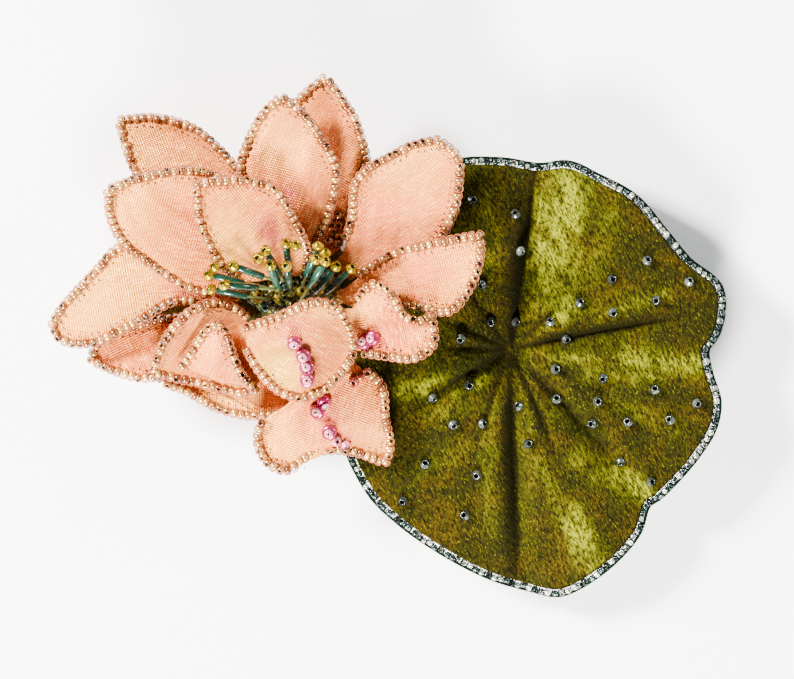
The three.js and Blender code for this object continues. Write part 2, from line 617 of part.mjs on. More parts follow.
// Height of the leaf above its level: it lies flat over the barrette and droops beyond it.
function leafDrape(x, y) {
  const beyondX = Math.max(0, Math.abs(x) - BAR_LENGTH / 2 - FELT_MARGIN);
  const beyondY = Math.max(0, Math.abs(y) - BAR_WIDTH / 2 - FELT_MARGIN);
  const droop = LEAF_DROOP * (beyondX * beyondX + beyondY * beyondY);
  const radius = planDistance([x, y], LEAF_GATHER);
  const angle = Math.atan2(y - LEAF_GATHER[1], x - LEAF_GATHER[0]);
  let folds = 0;
  for (const { direction, depth, width } of LEAF_FOLDS) {
    const turn = angle - THREE.MathUtils.degToRad(direction);
    const sideways = Math.abs(Math.atan2(Math.sin(turn), Math.cos(turn))) * radius;
    folds += depth * Math.exp(-((sideways / width) ** 2));
  }
  const fromFlower = planDistance([x, y], FLOWER_CENTRE) - FLOWER_BASE_RADIUS - FLOWER_EASE;
  const room = folds > 0 ? beyondY : Math.max(0, fromFlower);
  const openness = Math.min(1, radius / OPEN_RADIUS) * Math.min(1, room / FELT_EASE);
  const pucker = GATHER_DEPTH * Math.exp(-((radius / GATHER_RADIUS) ** 2));
  return -droop - folds * openness - pucker;
}

// The leaf stops short of the flower's base.
function clearOfBase([x, y]) {
  const push = Math.max(1, (FLOWER_BASE_RADIUS + CLEARANCE) / planDistance([x, y], FLOWER_CENTRE));
  return new THREE.Vector3(
    FLOWER_CENTRE[0] + (x - FLOWER_CENTRE[0]) * push,
    FLOWER_CENTRE[1] + (y - FLOWER_CENTRE[1]) * push,
    0,
  );
}

function leafCurve() {
  return new THREE.CatmullRomCurve3(LEAF_OUTLINE.map(clearOfBase), true, 'centripetal');
}

// One layer of the leaf: a disc whose rings are shaped to the outline, less the edging's room.
function leafLayer(level, thickness) {
  const profile = [];
  for (let i = 0; i <= LEAF_RINGS; i += 1) {
    profile.push(new THREE.Vector2(i / LEAF_RINGS, -thickness / 2));
  }
  for (let i = LEAF_RINGS; i >= 0; i -= 1) {
    profile.push(new THREE.Vector2(i / LEAF_RINGS, thickness / 2));
  }
  const outline = leafCurve();
  const geometry = new THREE.LatheGeometry(profile, LEAF_SECTORS);
  const position = geometry.attributes.position;
  for (let i = 0; i < position.count; i += 1) {
    const ring = Math.hypot(position.getX(i), position.getZ(i));
    const turn = Math.atan2(position.getX(i), position.getZ(i)) / (2 * Math.PI);
    const edge = outline.getPointAt(((turn % 1) + 1) % 1);
    const room = 1 - (LEAF_EDGING_RADIUS + LEAF_EDGING_GAP) / planDistance([edge.x, edge.y], LEAF_GATHER);
    const x = LEAF_GATHER[0] + (edge.x - LEAF_GATHER[0]) * ring * room;
    const y = LEAF_GATHER[1] + (edge.y - LEAF_GATHER[1]) * ring * room;
    position.setXYZ(i, x, y, level + leafDrape(x, y) + position.getY(i));
  }
  return welded(facingOut(geometry));
}

function leafEdging() {
  const outline = leafCurve();
  const points = [];
  for (let i = 0; i <= LEAF_EDGING_STEPS; i += 1) {
    const place = (HIDDEN_TO + ((1 - HIDDEN_TO + HIDDEN_FROM) * i) / LEAF_EDGING_STEPS) % 1;
    const point = outline.getPointAt(place);
    points.push(new THREE.Vector3(point.x, point.y, VELVET_LEVEL + leafDrape(point.x, point.y)));
  }
  return cord(points, LEAF_EDGING_RADIUS, LEAF_EDGING_STEPS);
}

// ---------------------------------------------------------------- flower centre
function centreMound() {
  const steps = DOME_STEPS;
  const profile = [new THREE.Vector2(0, 0)];
  for (let i = 0; i <= steps; i += 1) {
    const lift = (i / steps) * (Math.PI / 2);
    profile.push(new THREE.Vector2(i < steps ? Math.cos(lift) : 0, Math.sin(lift)));
  }
  const geometry = new THREE.LatheGeometry(profile, ROUND_SIDES);
  geometry.rotateX(Math.PI / 2).scale(MOUND_LENGTH / 2, MOUND_WIDTH / 2, MOUND_TOP - MOUND_BOTTOM);
  return welded(geometry.translate(...FLOWER_CENTRE, MOUND_BOTTOM));
}

// Stamens: a bugle bead with a round bead on its end. foot is the bugle's end, in bugle diameters from the
// flower's centre, and tip the round bead's. The last number of each is how many layers the bugle's
// underside lies above the mound's top.
const STAMENS = [
  { foot: [-3.44, 0.19, 1.1], tip: [-32.2, 11.3, 2.7] },
  { foot: [-3.19, -1.19, -0.2], tip: [-31.9, 8.8, 0.9] },
  { foot: [-2.19, -0.13, 1.7], tip: [-29.3, 9.4, 4] },
  { foot: [-2.37, 1.06, 1.8], tip: [-27.6, 12.9, 4.2] },
  { foot: [-0.94, 1.25, 1.4], tip: [-21.5, 16, 4.1] },
  { foot: [-1.12, -0.44, 0.9], tip: [-20.5, 13.3, 4.6] },
  { foot: [0.13, 1.06, 0.7], tip: [-17.7, 17.4, 3.7] },
  { foot: [0.19, -0.37, 0.9], tip: [-17.6, 13.2, 4.1] },
  { foot: [1.56, 0.44, 0.5], tip: [-11.6, 17, 2.8] },
  { foot: [1.5, -1.06, 0.5], tip: [-10.2, 14.2, 3.4] },
  { foot: [2.63, -0.81, 0.3], tip: [-8.2, 13.4, 1.9] },
  { foot: [3.69, -0.94, -0.2], tip: [-5.4, 13, 1] },
];

function stamen({ foot, tip }) {
  const start = new THREE.Vector3(
    FLOWER_CENTRE[0] + foot[0] * 2 * BUGLE_RADIUS,
    FLOWER_CENTRE[1] + foot[1] * 2 * BUGLE_RADIUS,
    MOUND_TOP + BUGLE_RADIUS + foot[2] * LAYER,
  );
  const reach = new THREE.Vector3(tip[0], tip[1], MOUND_TOP + BUGLE_RADIUS + tip[2] * LAYER).sub(start);
  const beadMiddle = reach.length() - STAMEN_BEAD_RADIUS;
  const seat = Math.asin(Math.min(1, BUGLE_RADIUS / STAMEN_BEAD_RADIUS)); // where the bugle meets the bead
  const steps = DOME_STEPS;
  const profile = [new THREE.Vector2(0, 0), new THREE.Vector2(BUGLE_RADIUS, 0)];
  for (let i = 0; i < steps; i += 1) {
    const turn = seat + ((Math.PI - seat) * i) / steps;
    const ring = STAMEN_BEAD_RADIUS * Math.sin(turn);
    profile.push(new THREE.Vector2(ring, beadMiddle - STAMEN_BEAD_RADIUS * Math.cos(turn)));
  }
  profile.push(new THREE.Vector2(0, beadMiddle + STAMEN_BEAD_RADIUS));
  const geometry = new THREE.LatheGeometry(profile, STAMEN_SIDES);
  const up = new THREE.Vector3(0, 1, 0);
  geometry.applyQuaternion(new THREE.Quaternion().setFromUnitVectors(up, reach.normalize()));
  return welded(geometry.translate(start.x, start.y, start.z));
}

// ---------------------------------------------------------------- assembly
addMesh('barrette_base', barretteBase(), MATERIALS.nickel);
addMesh('hinge_pin', hingePin(), MATERIALS.springSteel);
addMesh('clasp_arm', claspArm(), MATERIALS.nickel);
addMesh('tension_bar', tensionBar(), MATERIALS.springSteel);
addMesh('tension_bar_rivet', rivet(BOW_RIVET_X, bowHeight(BOW_RIVET_X) - BOW_THICKNESS), MATERIALS.nickel);
addMesh('latch_spring', latchSpring(), MATERIALS.springSteel);
addMesh('latch_rivet', rivet(LATCH_RIVET_X, SPRING_TOP - SPRING_THICKNESS), MATERIALS.nickel);
addMesh('latch_wing_front', latchWing(-1), MATERIALS.springSteel);
addMesh('latch_wing_back', latchWing(1), MATERIALS.springSteel);

const feltLength = BAR_LENGTH + 2 * FELT_MARGIN;
const feltWidth = BAR_WIDTH + 2 * FELT_MARGIN;
addMesh('felt_backing', roundedStrip(feltLength, feltWidth, feltWidth / 2, FELT_BOTTOM, FELT_TOP), MATERIALS.felt);
addMesh('leaf_lining', leafLayer(LINING_LEVEL, LINING_THICKNESS), MATERIALS.lining);
addMesh('leaf_velvet', leafLayer(VELVET_LEVEL, VELVET_THICKNESS), MATERIALS.velvet);
addMesh('leaf_edging', leafEdging(), MATERIALS.silverBeads);

addMesh(
  'flower_base',
  post(FLOWER_BASE_RADIUS, FLOWER_CENTRE, FLOWER_BASE_BOTTOM, FLOWER_BASE_TOP, FLOWER_BASE_SIDES),
  MATERIALS.felt,
);
addMesh('flower_mound', centreMound(), MATERIALS.moss);
for (const [name, petal] of Object.entries(PETALS)) {
  addMesh(name, petalSolid(petal), MATERIALS.satin);
  addMesh(`${name}_edging`, petalEdging(petal), MATERIALS.copperBeads);
}
STAMENS.forEach((place, i) => {
  addMesh(`stamen_${String(i + 1).padStart(2, '0')}`, stamen(place), MATERIALS.stamen);
});

export default group;
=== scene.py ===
"""Water lily hair clip: satin petals and a velvet leaf, edged with seed beads, on an automatic barrette.

Each piece has an operator, and its sizes and colours are in the property groups. The solids of the
clip come from the frame. The petals and the leaf repeat the outlines that the frame's solids have.
"""
import json
import math
import random

import bmesh
import bpy
from bpy.props import FloatProperty, FloatVectorProperty, PointerProperty
from bpy.types import Operator, Panel, PropertyGroup
from mathutils import Matrix, Vector, noise
from mathutils.bvhtree import BVHTree

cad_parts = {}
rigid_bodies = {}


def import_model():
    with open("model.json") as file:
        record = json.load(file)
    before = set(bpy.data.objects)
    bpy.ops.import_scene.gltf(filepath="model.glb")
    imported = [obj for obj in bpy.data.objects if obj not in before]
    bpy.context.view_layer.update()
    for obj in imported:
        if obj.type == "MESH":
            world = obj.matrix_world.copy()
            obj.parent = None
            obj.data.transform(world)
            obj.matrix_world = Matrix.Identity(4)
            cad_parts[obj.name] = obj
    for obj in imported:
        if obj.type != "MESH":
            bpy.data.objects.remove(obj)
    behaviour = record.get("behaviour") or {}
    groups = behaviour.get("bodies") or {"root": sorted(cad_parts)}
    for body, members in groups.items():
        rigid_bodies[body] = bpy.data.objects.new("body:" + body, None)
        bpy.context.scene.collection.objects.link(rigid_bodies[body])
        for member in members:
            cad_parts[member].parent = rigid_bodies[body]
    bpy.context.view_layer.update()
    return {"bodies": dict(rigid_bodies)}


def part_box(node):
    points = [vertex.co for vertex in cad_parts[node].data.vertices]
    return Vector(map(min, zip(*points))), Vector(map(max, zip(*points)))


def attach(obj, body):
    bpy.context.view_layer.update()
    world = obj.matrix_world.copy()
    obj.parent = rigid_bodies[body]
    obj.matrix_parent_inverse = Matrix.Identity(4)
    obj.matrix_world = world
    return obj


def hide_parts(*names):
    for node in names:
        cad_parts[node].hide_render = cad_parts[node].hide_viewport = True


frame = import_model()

bl_info = {
    "name": "Water lily hair clip",
    "version": (1, 0, 0),
    "blender": (4, 5, 0),
    "location": "View3D > Sidebar > Lily clip",
    "description": "Builds a beaded satin water lily and a velvet leaf on a barrette",
    "category": "Add Mesh",
}

MM = 0.001
BODY = "clip_base"
UP = Vector((0, 0, 1))
DOWN = Vector((0, 0, -1))

# ---------------------------------------------------------------- places, in millimetres
FLOWER_CENTRE = (-17.1, 8.9)
LEAF_GATHER = (22.5, -2.1)
CLEARANCE = 0.3
EDGING_RADIUS = 0.8
EDGING_LIFT = 0.15  # how far a petal's beads stand up from its edge, where the petal names no lift
FLOWER_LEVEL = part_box("flower_base")[1][2] / MM + EDGING_RADIUS

# Each petal lies between two edges that run from its base to its tip, in plan. base and tip are heights
# above the flower's level, arch lifts the middle, cup lifts the edges and roll lifts the right edge.
# edging is the beaded stretch: 0 is the left edge's base, 0.5 the tip and 1 the right edge's base.
# grain is the weave's direction in degrees. lift, where given, takes the place of EDGING_LIFT.
PETALS = {
    "petal_upper_left": dict(
        left=[(-26, 14), (-37.5, 22), (-44.3, 29.5), (-47.4, 38.6)],
        right=[(-19.5, 17.5), (-24, 26.5), (-29.6, 33.3), (-34.6, 37.3), (-41, 39)],
        base=0.4, tip=4, arch=0.6, cup=0.8, roll=0, edging=(0.12, 0.88), grain=20),
    "petal_left_upper": dict(
        left=[(-25, 8.5), (-33.2, 8.4), (-41.6, 13.2), (-46.2, 16.9), (-48.3, 21), (-48.8, 26)],
        right=[(-21.5, 15), (-26, 25.5), (-32.5, 29.2), (-41.3, 28.6)],
        base=6, tip=14.5, arch=1.2, cup=-0.8, roll=0.6, edging=(0.08, 0.9), grain=-15),
    "petal_inner_left": dict(
        left=[(-24, 10), (-28.6, 12.4), (-31.1, 16.6), (-33, 22), (-32.9, 27)],
        right=[(-14.8, 11.2), (-13.9, 14.6), (-16.4, 20.9), (-20.1, 26.4), (-25.5, 27.7)],
        base=9.2, tip=16.5, arch=1, cup=-0.6, roll=0, edging=(0.05, 0.98), grain=40),
    "petal_back_centre": dict(
        left=[(-20.5, 14.8), (-24.2, 22), (-25.6, 30.2), (-24.4, 34.3), (-21.7, 39.2), (-18.4, 42.4)],
        right=[(-14, 14.8), (-10.8, 20.9), (-9.1, 26.3), (-9.1, 30.2), (-11.7, 35.4), (-15.3, 40)],
        base=2.4, tip=12.5, arch=0.8, cup=-0.9, roll=0, edging=(0.14, 0.96), grain=75),
    "petal_back": dict(
        left=[(-13, 16), (-16.6, 28), (-17.1, 38), (-15.9, 41.6), (-10.8, 46.2)],
        right=[(-7.4, 16.6), (-6.8, 20.9), (-5.6, 27.3), (-3.6, 31.3), (-4.1, 34), (-5.7, 38.9), (-8.4, 43)],
        base=0.3, tip=4.5, arch=0.4, cup=-0.5, roll=0, edging=(0.22, 0.96), grain=60),
    "petal_upper_right": dict(
        left=[(-8, 15.2), (-6, 20.9), (-5.3, 27.3), (-2.8, 30.2), (0.4, 31.8), (4.7, 34), (9.3, 35)],
        right=[(-3, 10.5), (6, 13.8), (11.2, 20.6), (12.8, 27), (12.5, 32)],
        base=2.5, tip=7, arch=0.8, cup=0.8, roll=0, edging=(0.04, 0.82), grain=35),
    "petal_right": dict(
        left=[(-7.5, 9), (-2.5, 12.8), (3, 15.4), (10.5, 17), (16.5, 18.1)],
        right=[(-5.8, 5.2), (0, 5.9), (5.5, 5.9), (11.1, 4.8), (15, 9.5), (16.6, 15)],
        base=4.6, tip=10, arch=0.5, cup=0.4, roll=0, edging=(0.06, 0.9), grain=15),
    "petal_lower_right": dict(
        left=[(-6, 5.5), (-2.2, 9.4), (0.7, 7.8), (3, 3.8), (5.5, 2.9), (8, 4.1)],
        right=[(-6, -2.2), (-0.4, -3), (5, -3.4), (8.2, -1.1)],
        base=7.8, tip=10, arch=2, cup=0.4, roll=-0.8, edging=(0.04, 0.96), grain=-80),
    "petal_front_centre": dict(
        left=[(-25, 1.6), (-18.9, 3.6), (-12.9, 6.1), (-8.8, 5.2), (-6, 0.4)],
        right=[(-24.6, -1.6), (-22.3, -5.7), (-18.7, -9.3), (-14.5, -10.4), (-10.9, -8.9), (-8.8, -7),
               (-6.2, -3.2)],
        base=11.2, tip=11.4, arch=1.6, cup=0, roll=-1.6, edging=(0, 1), grain=-30),
    "petal_front_hanging": dict(
        left=[(-15, -7), (-17.9, -12), (-21.6, -14.6), (-22.7, -18.6), (-20.4, -22.6), (-17.3, -23.4),
              (-13.9, -20.9), (-10.7, -19.9), (-5.2, -20.3), (-0.2, -22.2)],
        right=[(-4, -5.4), (-0.8, -8.8), (-0.3, -14.1), (0.6, -19.1)],
        base=4.8, tip=0.4, arch=0.8, cup=0, roll=0, edging=(0.125, 0.96), grain=70, lift=0.7),
    "petal_left": dict(
        left=[(-28.5, 12.5), (-38, 15), (-47, 16), (-51.3, 11.8), (-56.7, 6), (-59.1, 2.7)],
        right=[(-28.5, 5.6), (-37.4, 6.6), (-44.5, 2.9), (-52.3, -0.8), (-57.5, -0.2)],
        base=4, tip=6.8, arch=1.4, cup=-0.4, roll=0, edging=(0.1, 0.92), grain=10),
    "petal_lower_left": dict(
        left=[(-29, 3.4), (-41, 3), (-51.4, -1.2), (-52.3, -4)],
        right=[(-29, -2), (-34.5, -4.6), (-42, -7), (-47.1, -6.2)],
        base=2, tip=2.2, arch=0.4, cup=0, roll=0, edging=(0.1, 0.92), grain=-65),
    "petal_front_left": dict(
        left=[(-24, 2.6), (-26.3, 4.8), (-29.8, 6.2), (-34.6, 4.6), (-38.7, 0), (-41.4, -6)],
        right=[(-22.4, -8.8), (-26, -9.6), (-31, -8.3), (-36.5, -7.2)],
        base=5.4, tip=4.9, arch=0.8, cup=0, roll=-2.8, edging=(0.02, 0.98), grain=50),
    "petal_front_left_inner": dict(
        left=[(-36.4, -5.4), (-33.4, -1.2), (-31.4, 1.5), (-29.8, 2.6)],
        right=[(-22.6, -9.6), (-25.6, -6.6), (-27.5, -2), (-28.6, 1.4)],
        base=6.8, tip=11.4, arch=0.4, cup=-0.5, roll=0.3, edging=(0, 1), grain=80),
    "petal_front_under": dict(
        left=[(-33, -3.6), (-40, -7.2), (-35.2, -9.6), (-30, -12.4), (-25, -13.8)],
        right=[(-14.4, -6), (-15, -10.8), (-18.6, -13.2)],
        base=0.2, tip=0.2, arch=0, cup=0, roll=0, edging=(0.1, 0.9), grain=0),
}

# Dye brushed on the satin, with painted light: petal, centre, radius, colour name and strength.
DYE_AND_PAINTED_LIGHT = [
    # shade marks painted shade near the bases and where petals overlap, and pale marks a painted highlight
    ("petal_upper_left", (-33, 27), 8, "shade", 0.55),
    ("petal_upper_left", (-44, 34), 7, "pale", 0.5),
    ("petal_left_upper", (-31, 12), 8, "orange", 0.8),
    # The orange spot and the shade spot below it are painted shadow along the inner left petal, which lies
    # over this one.
    ("petal_left_upper", (-34.4, 22), 2.4, "orange", 1.0),
    ("petal_left_upper", (-33.8, 17.5), 2.6, "shade", 0.6),
    ("petal_left_upper", (-45, 24), 7, "pale", 0.5),
    ("petal_left_upper", (-36, 22), 6, "pink", 0.4),
    ("petal_inner_left", (-21.6, 21), 1.2, "magenta", 0.9),
    ("petal_inner_left", (-20.9, 19.2), 1.5, "magenta", 1.5),
    ("petal_inner_left", (-20.1, 17.4), 1.3, "magenta", 1.5),
    ("petal_inner_left", (-27, 16), 6, "yellow", 0.45),
    ("petal_back_centre", (-17, 25), 4, "pink", 0.6),
    ("petal_back_centre", (-17.2, 25.6), 1.3, "magenta", 0.9),
    ("petal_back_centre", (-13, 20), 5, "shade", 0.5),
    ("petal_back_centre", (-20, 37), 6, "pale", 0.4),
    ("petal_back", (-9, 33), 6, "pink", 0.4),
    ("petal_back", (-10, 22), 6, "shade", 0.7),
    ("petal_upper_right", (-2, 20), 6, "pink", 0.7),
    ("petal_upper_right", (6, 29), 6, "pale", 0.4),
    ("petal_upper_right", (8, 20), 5, "pink", 0.5),
    ("petal_upper_right", (2, 13), 5, "shade", 0.6),
    ("petal_right", (6, 12), 6, "pink", 0.6),
    ("petal_right", (10, 8), 4, "orange", 0.4),
    ("petal_right", (14, 14), 5, "pale", 0.3),
    ("petal_lower_right", (1.6, 4), 3, "rose", 1.0),
    ("petal_lower_right", (1, 0.5), 4, "rose", 0.6),
    ("petal_lower_right", (-4, -1), 3, "magenta", 0.6),
    ("petal_lower_right", (-4, 6), 3, "pale", 0.5),
    ("petal_front_centre", (-17, 0.5), 2.2, "magenta", 0.7),
    ("petal_front_centre", (-15, -2.6), 2, "magenta", 0.9),
    ("petal_front_centre", (-13.8, -5.6), 2, "magenta", 0.7),
    ("petal_front_centre", (-11.6, -4), 2.5, "shade", 0.5),
    ("petal_front_centre", (-19, -6), 4.5, "yellow", 0.9),
    ("petal_front_centre", (-10, -3), 4, "shade", 0.35),
    ("petal_front_hanging", (-8, -9), 4, "rose", 0.5),
    ("petal_front_hanging", (-11, -13), 3, "magenta", 0.8),
    ("petal_front_hanging", (-9, -17.5), 2.6, "magenta", 0.75),
    ("petal_front_hanging", (-18, -19), 6, "pale", 0.35),
    ("petal_left", (-52, 7), 9, "pale", 0.8),
    ("petal_left", (-44, 9), 6, "yellow", 0.35),
    ("petal_left", (-35, 9), 6, "shade", 0.8),
    ("petal_left", (-38, 7.5), 3, "pink", 0.5),
    ("petal_lower_left", (-42, -1), 9, "orange", 1.0),
    ("petal_lower_left", (-50, -3), 3, "pink", 0.5),
    ("petal_front_left", (-33, 2), 6, "pink", 0.5),
    ("petal_front_left", (-37, -2), 6, "orange", 0.5),
    ("petal_front_left", (-31, -1), 4, "shade", 0.45),
    ("petal_front_left", (-26, 1), 4, "orange", 0.7),
    ("petal_front_left_inner", (-29, -3), 5, "pink", 0.7),
    ("petal_front_left_inner", (-26, -7), 4, "shade", 0.5),
]

# The line of the leaf's edging in plan, anticlockwise. The side under the flower is cut back.
LEAF_OUTLINE = [
    (60, 5), (59.4, 9.2), (53.9, 13.8), (49.6, 19), (44.4, 25), (38, 28.6), (32.7, 31), (27.4, 30.6),
    (20.4, 31.6), (12.4, 31.2), (4, 27), (-3, 18), (-6, 5), (-6, -8), (-7.2, -17.6), (-2.7, -27.6),
    (2.6, -32.9), (9.8, -38), (18.6, -42.6), (25.7, -44.8), (31, -45.8), (34.6, -44.4), (40.6, -40),
    (45, -34.8), (46.8, -29.8), (48.7, -28.4), (53, -24), (55.8, -20.5), (58.4, -16.2), (59.2, -11.4),
    (57.7, -6.4), (57.1, -2.1), (58.9, 0.6),
]

# Folds that run out from the gather: direction in degrees, depth (down is positive), half width.
LEAF_FOLDS = [
    (81, 1.3, 2), (58, -1, 6), (9, 1.1, 2), (-12, -0.9, 6), (-49, 1.4, 2.6), (-68, -1.1, 6),
    (-87, 1.4, 2.4), (-171, -0.8, 4), (120, 0.8, 3),
]
FINE_FOLDS = [
    (100, 0.35, 1.1), (140, 0.3, 1.3), (160, -0.3, 1.4), (-150, 0.4, 1.2), (-120, 0.35, 1.2),
    (-30, 0.3, 1.1), (30, 0.25, 1.2), (70, 0.3, 0.9), (-60, 0.3, 1), (-98, -0.3, 1.2), (-4, 0.3, 1),
]

# Sharp creases where the folds are sewn or pressed: direction in degrees, depth, half width and length.
CREASES = [
    (-148, 0.5, 0.8, 22), (-110, 0.3, 0.8, 18), (-88, 0.8, 1.3, 44), (-66, 0.5, 0.7, 22), (-46, 0.8, 0.9, 40),
    (-22, 0.35, 0.6, 16), (10.6, 0.9, 0.7, 38), (40, 0.2, 0.7, 12), (82, 0.9, 0.7, 34), (125, 0.4, 0.9, 20),
    (156, 0.4, 0.8, 15), (178, 0.3, 0.7, 14),
]
FULLNESS = 3.0  # how far the velvet swells up between two creases, at most
LEAF_DROOP = 0.0042  # per mm beyond the flat part, which is over the bar
BAR_HALF_LENGTH = 43
BAR_HALF_WIDTH = 7
GATHER_DEPTH = 0.7
GATHER_RADIUS = 4
FLOWER_REACH = 14.5  # the leaf lies flat this far round the flower's centre
FOLD_EASE = 8  # and its folds reach their height over this much more
FINE_FOLD_REACH = 16
SWELL_START = -2  # along X, where the velvet starts to swell
SWELL_EASE = 10

# The velvet and the lining as they are cut, in metres and square metres.
VELVET_INSET = 0.6  # mm, from the edging's line
LINING_INSET = 0.8
LINING_HALF = 0.25  # mm, half the thickness of the frame's lining
VELVET_HALF = 0.4

# Painted highlights where the pile lies over and shines: start, end, half width and strength.
PAINTED_NAP_HIGHLIGHTS = [
    ((33, 28), (30.5, 5), 4.2, 1.0), ((27.5, 26), (28, 12), 2, 0.5), ((40, 22), (36, 10), 4, 0.35),
    ((43.5, -3.6), (57.5, -5), 3, 0.9), ((36, -6), (48, -7), 2.6, 0.55), ((30, -4), (38, -3.4), 1.6, 0.5),
    ((35.5, -21), (46.5, -28.5), 3.6, 0.9), ((30.5, -12), (37, -19), 2.4, 0.5),
    ((33, -32), (38, -42), 3.6, 0.95), ((28, -22), (32, -34), 2.2, 0.5),
    ((1, -9.5), (17, -7.5), 2.6, 0.85), ((8, -14), (18, -12), 2, 0.3),
    ((20, -20), (18.5, -34), 2.6, 0.3), ((6, -24), (14, -20), 3, 0.25),
    ((17, 26), (21, 10), 2.2, 0.25), ((50, 8), (38, 3.4), 2, 0.4), ((52, -16), (40, -12), 3, 0.3),
]

NAP_LIGHT = Vector((-0.6, 0.4, 0.7)).normalized()  # the light's direction: slopes facing it get painted highlight, slopes turned away painted shade

# Painted shade in the valleys between the folds: direction in degrees, half width, length and strength.
PAINTED_VALLEY_SHADE = [
    (82, 0.5, 34, 0.95), (90, 2.2, 30, 0.4), (10.6, 0.5, 37, 0.8), (14, 1.4, 34, 0.3), (-46, 0.9, 32, 0.7),
    (-54, 2, 36, 0.3), (-88, 1.6, 44, 0.4), (-96, 3, 34, 0.25), (-148, 0.8, 20, 0.6), (156, 0.8, 15, 0.5),
    (178, 0.8, 14, 0.45), (125, 0.9, 20, 0.3), (-22, 0.7, 15, 0.5), (40, 0.8, 12, 0.3), (-66, 0.7, 20, 0.7),
]

# Beads sewn on the velvet.
LOOSE_BEADS = [
    (15.5, 24.5), (23, 22), (23.6, 15.5), (17.3, 9.5), (18.4, 2.7), (22.7, 3), (13.4, -0.2), (46.6, 13.8),
    (40.4, 10.5), (34.6, 6.1), (54.1, 10), (48.2, 6.6), (40.5, 4.5), (29.5, 2.7), (32.1, 0.2),
    (30.2, -5.9), (38.8, -7), (48, -9.1), (55.5, -11.6), (37.7, -11.4), (30.2, -11.1), (37, -15),
    (43, -15), (50.7, -14.5), (24.1, -12.1), (25.7, -18.8), (42.3, -21.8), (47.5, -25.5), (15, -8.6),
    (8.2, -10.5), (12, -15.4), (17.1, -15.2), (7, -22.5), (16.3, -24.5), (3, -29.1), (14.1, -31.6),
]

# Rows of magenta beads: petal and places.
MAGENTA_ROWS = {
    "petal_front_centre": [(-16.1, -0.7), (-14.5, -3), (-13.8, -5.2), (-13.9, -7.4)],
    "petal_lower_right": [(-2, 0.1), (-3.5, -0.9)],
    "petal_front_hanging": [(-11.3, -10.8), (-12, -13), (-10, -16.6)],
}
PINK_BEADS = {
    "petal_front_hanging": [(-8.8, -18.4), (-7.3, -18.6)],
}
ORANGE_BEADS = {
    "petal_front_hanging": [(-4.6, -6.9), (-5.6, -7.9), (-3.4, -6.4)],
}

# Stamens: foot and tip, with heights above the mound's top.
STAMENS = [
    ((-22.6, 9.2, 3), (-32.2, 11.3, 6.2)), ((-22.2, 7, 0.4), (-31.9, 8.8, 2.6)),
    ((-20.6, 8.69, 4.2), (-29.3, 9.4, 8.8)), ((-20.89, 10.6, 4.4), (-27.6, 12.9, 9.2)),
    ((-18.6, 10.9, 3.6), (-21.5, 16, 9)), ((-18.89, 8.2, 2.6), (-20.5, 13.3, 10)),
    ((-16.89, 10.6, 2.2), (-17.7, 17.4, 8.2)), ((-16.8, 8.31, 2.6), (-17.6, 13.2, 9)),
    ((-14.6, 9.6, 1.8), (-11.6, 17, 6.4)), ((-14.7, 7.2, 1.8), (-10.2, 14.2, 7.6)),
    ((-12.89, 7.6, 1.4), (-8.2, 13.4, 4.6)), ((-11.2, 7.4, 0.4), (-5.4, 13, 2.8)),
]

# Stamens with a second bead on their end: how far beside the first it lies, in its radii.
TWINS = {0: 1.5, 4: -1.6, 6: 1.6, 8: 1.5, 9: -1.5}

# Larger beads sewn on the mound: place and colour name.
MOUND_BEADS = [
    ((-14.8, 8.2), "pollen"), ((-22.6, 7.2), "pollen"), ((-18.1, 9.4), "jade"), ((-21.4, 5.6), "jade"),
    ((-11.8, 8.8), "pollen"), ((-16.4, 6), "moss"),
]

# Small copper beads sewn where the upper petals meet.
COPPER_ROWS = {
    "petal_back": [(-8.4, 22), (-9.6, 21), (-8.4, 20), (-9.7, 19), (-8.6, 18), (-10.2, 17.4), (-8.8, 16.9)],
}


# The barrette's pieces and what they are made of.
METAL = {
    "barrette_base": "nickel_plate", "clasp_arm": "nickel_plate", "hinge_pin": "spring_steel",
    "tension_bar": "spring_steel", "tension_bar_rivet": "nickel_plate", "latch_spring": "spring_steel",
    "latch_rivet": "nickel_plate", "latch_wing_front": "spring_steel", "latch_wing_back": "spring_steel",
}

# The petals' edging and its thread.
TURNED_SHARE = 0.28  # of the beads are strung on end
STITCHED_SHARE = 0.75  # of the beads show their stitch
THREAD_RADIUS = 0.11
STITCH_RADIUS = 0.1

# The beads of the mound.
MOSS_BEADS = 150
MOSS_RADIUS = 0.85
GOLDEN_TURN = 2.39996  # radians from one bead to the next, which spreads them evenly
GREEN_SHARE = 0.12
GOLD_SHARE = 0.14
JADE = (0.01, 0.09, 0.06)

# The felt, its stitches and the threads through the barrette's holes.
FELT_STITCH_BITE = 1.2
FELT_STITCH_RADIUS = 0.14
SIDE_STITCHES = 20
END_STITCHES = 5
PLATE_THICKNESS = 0.9
HOLE_INSET = 7
HOLE_PITCH = 4
THREADS = 4
THREAD_PITCH = 0.28
SEWING_THREAD_RADIUS = 0.13

# How a piece taken from the frame is softened, and how the beads find their surface, in metres.
FELT_ROUND = 0.25 * MM
WELD_DISTANCE = 2e-6
FLAT_ANGLE = math.radians(2)  # two faces that meet at less than this are one
EDGE_ANGLE = math.radians(40)  # an edge sharper than this is rounded
CREASE_ANGLE = math.radians(35)  # and one sharper than this isn't shaded smooth
ABOVE_ALL = 60 * MM  # higher than any piece

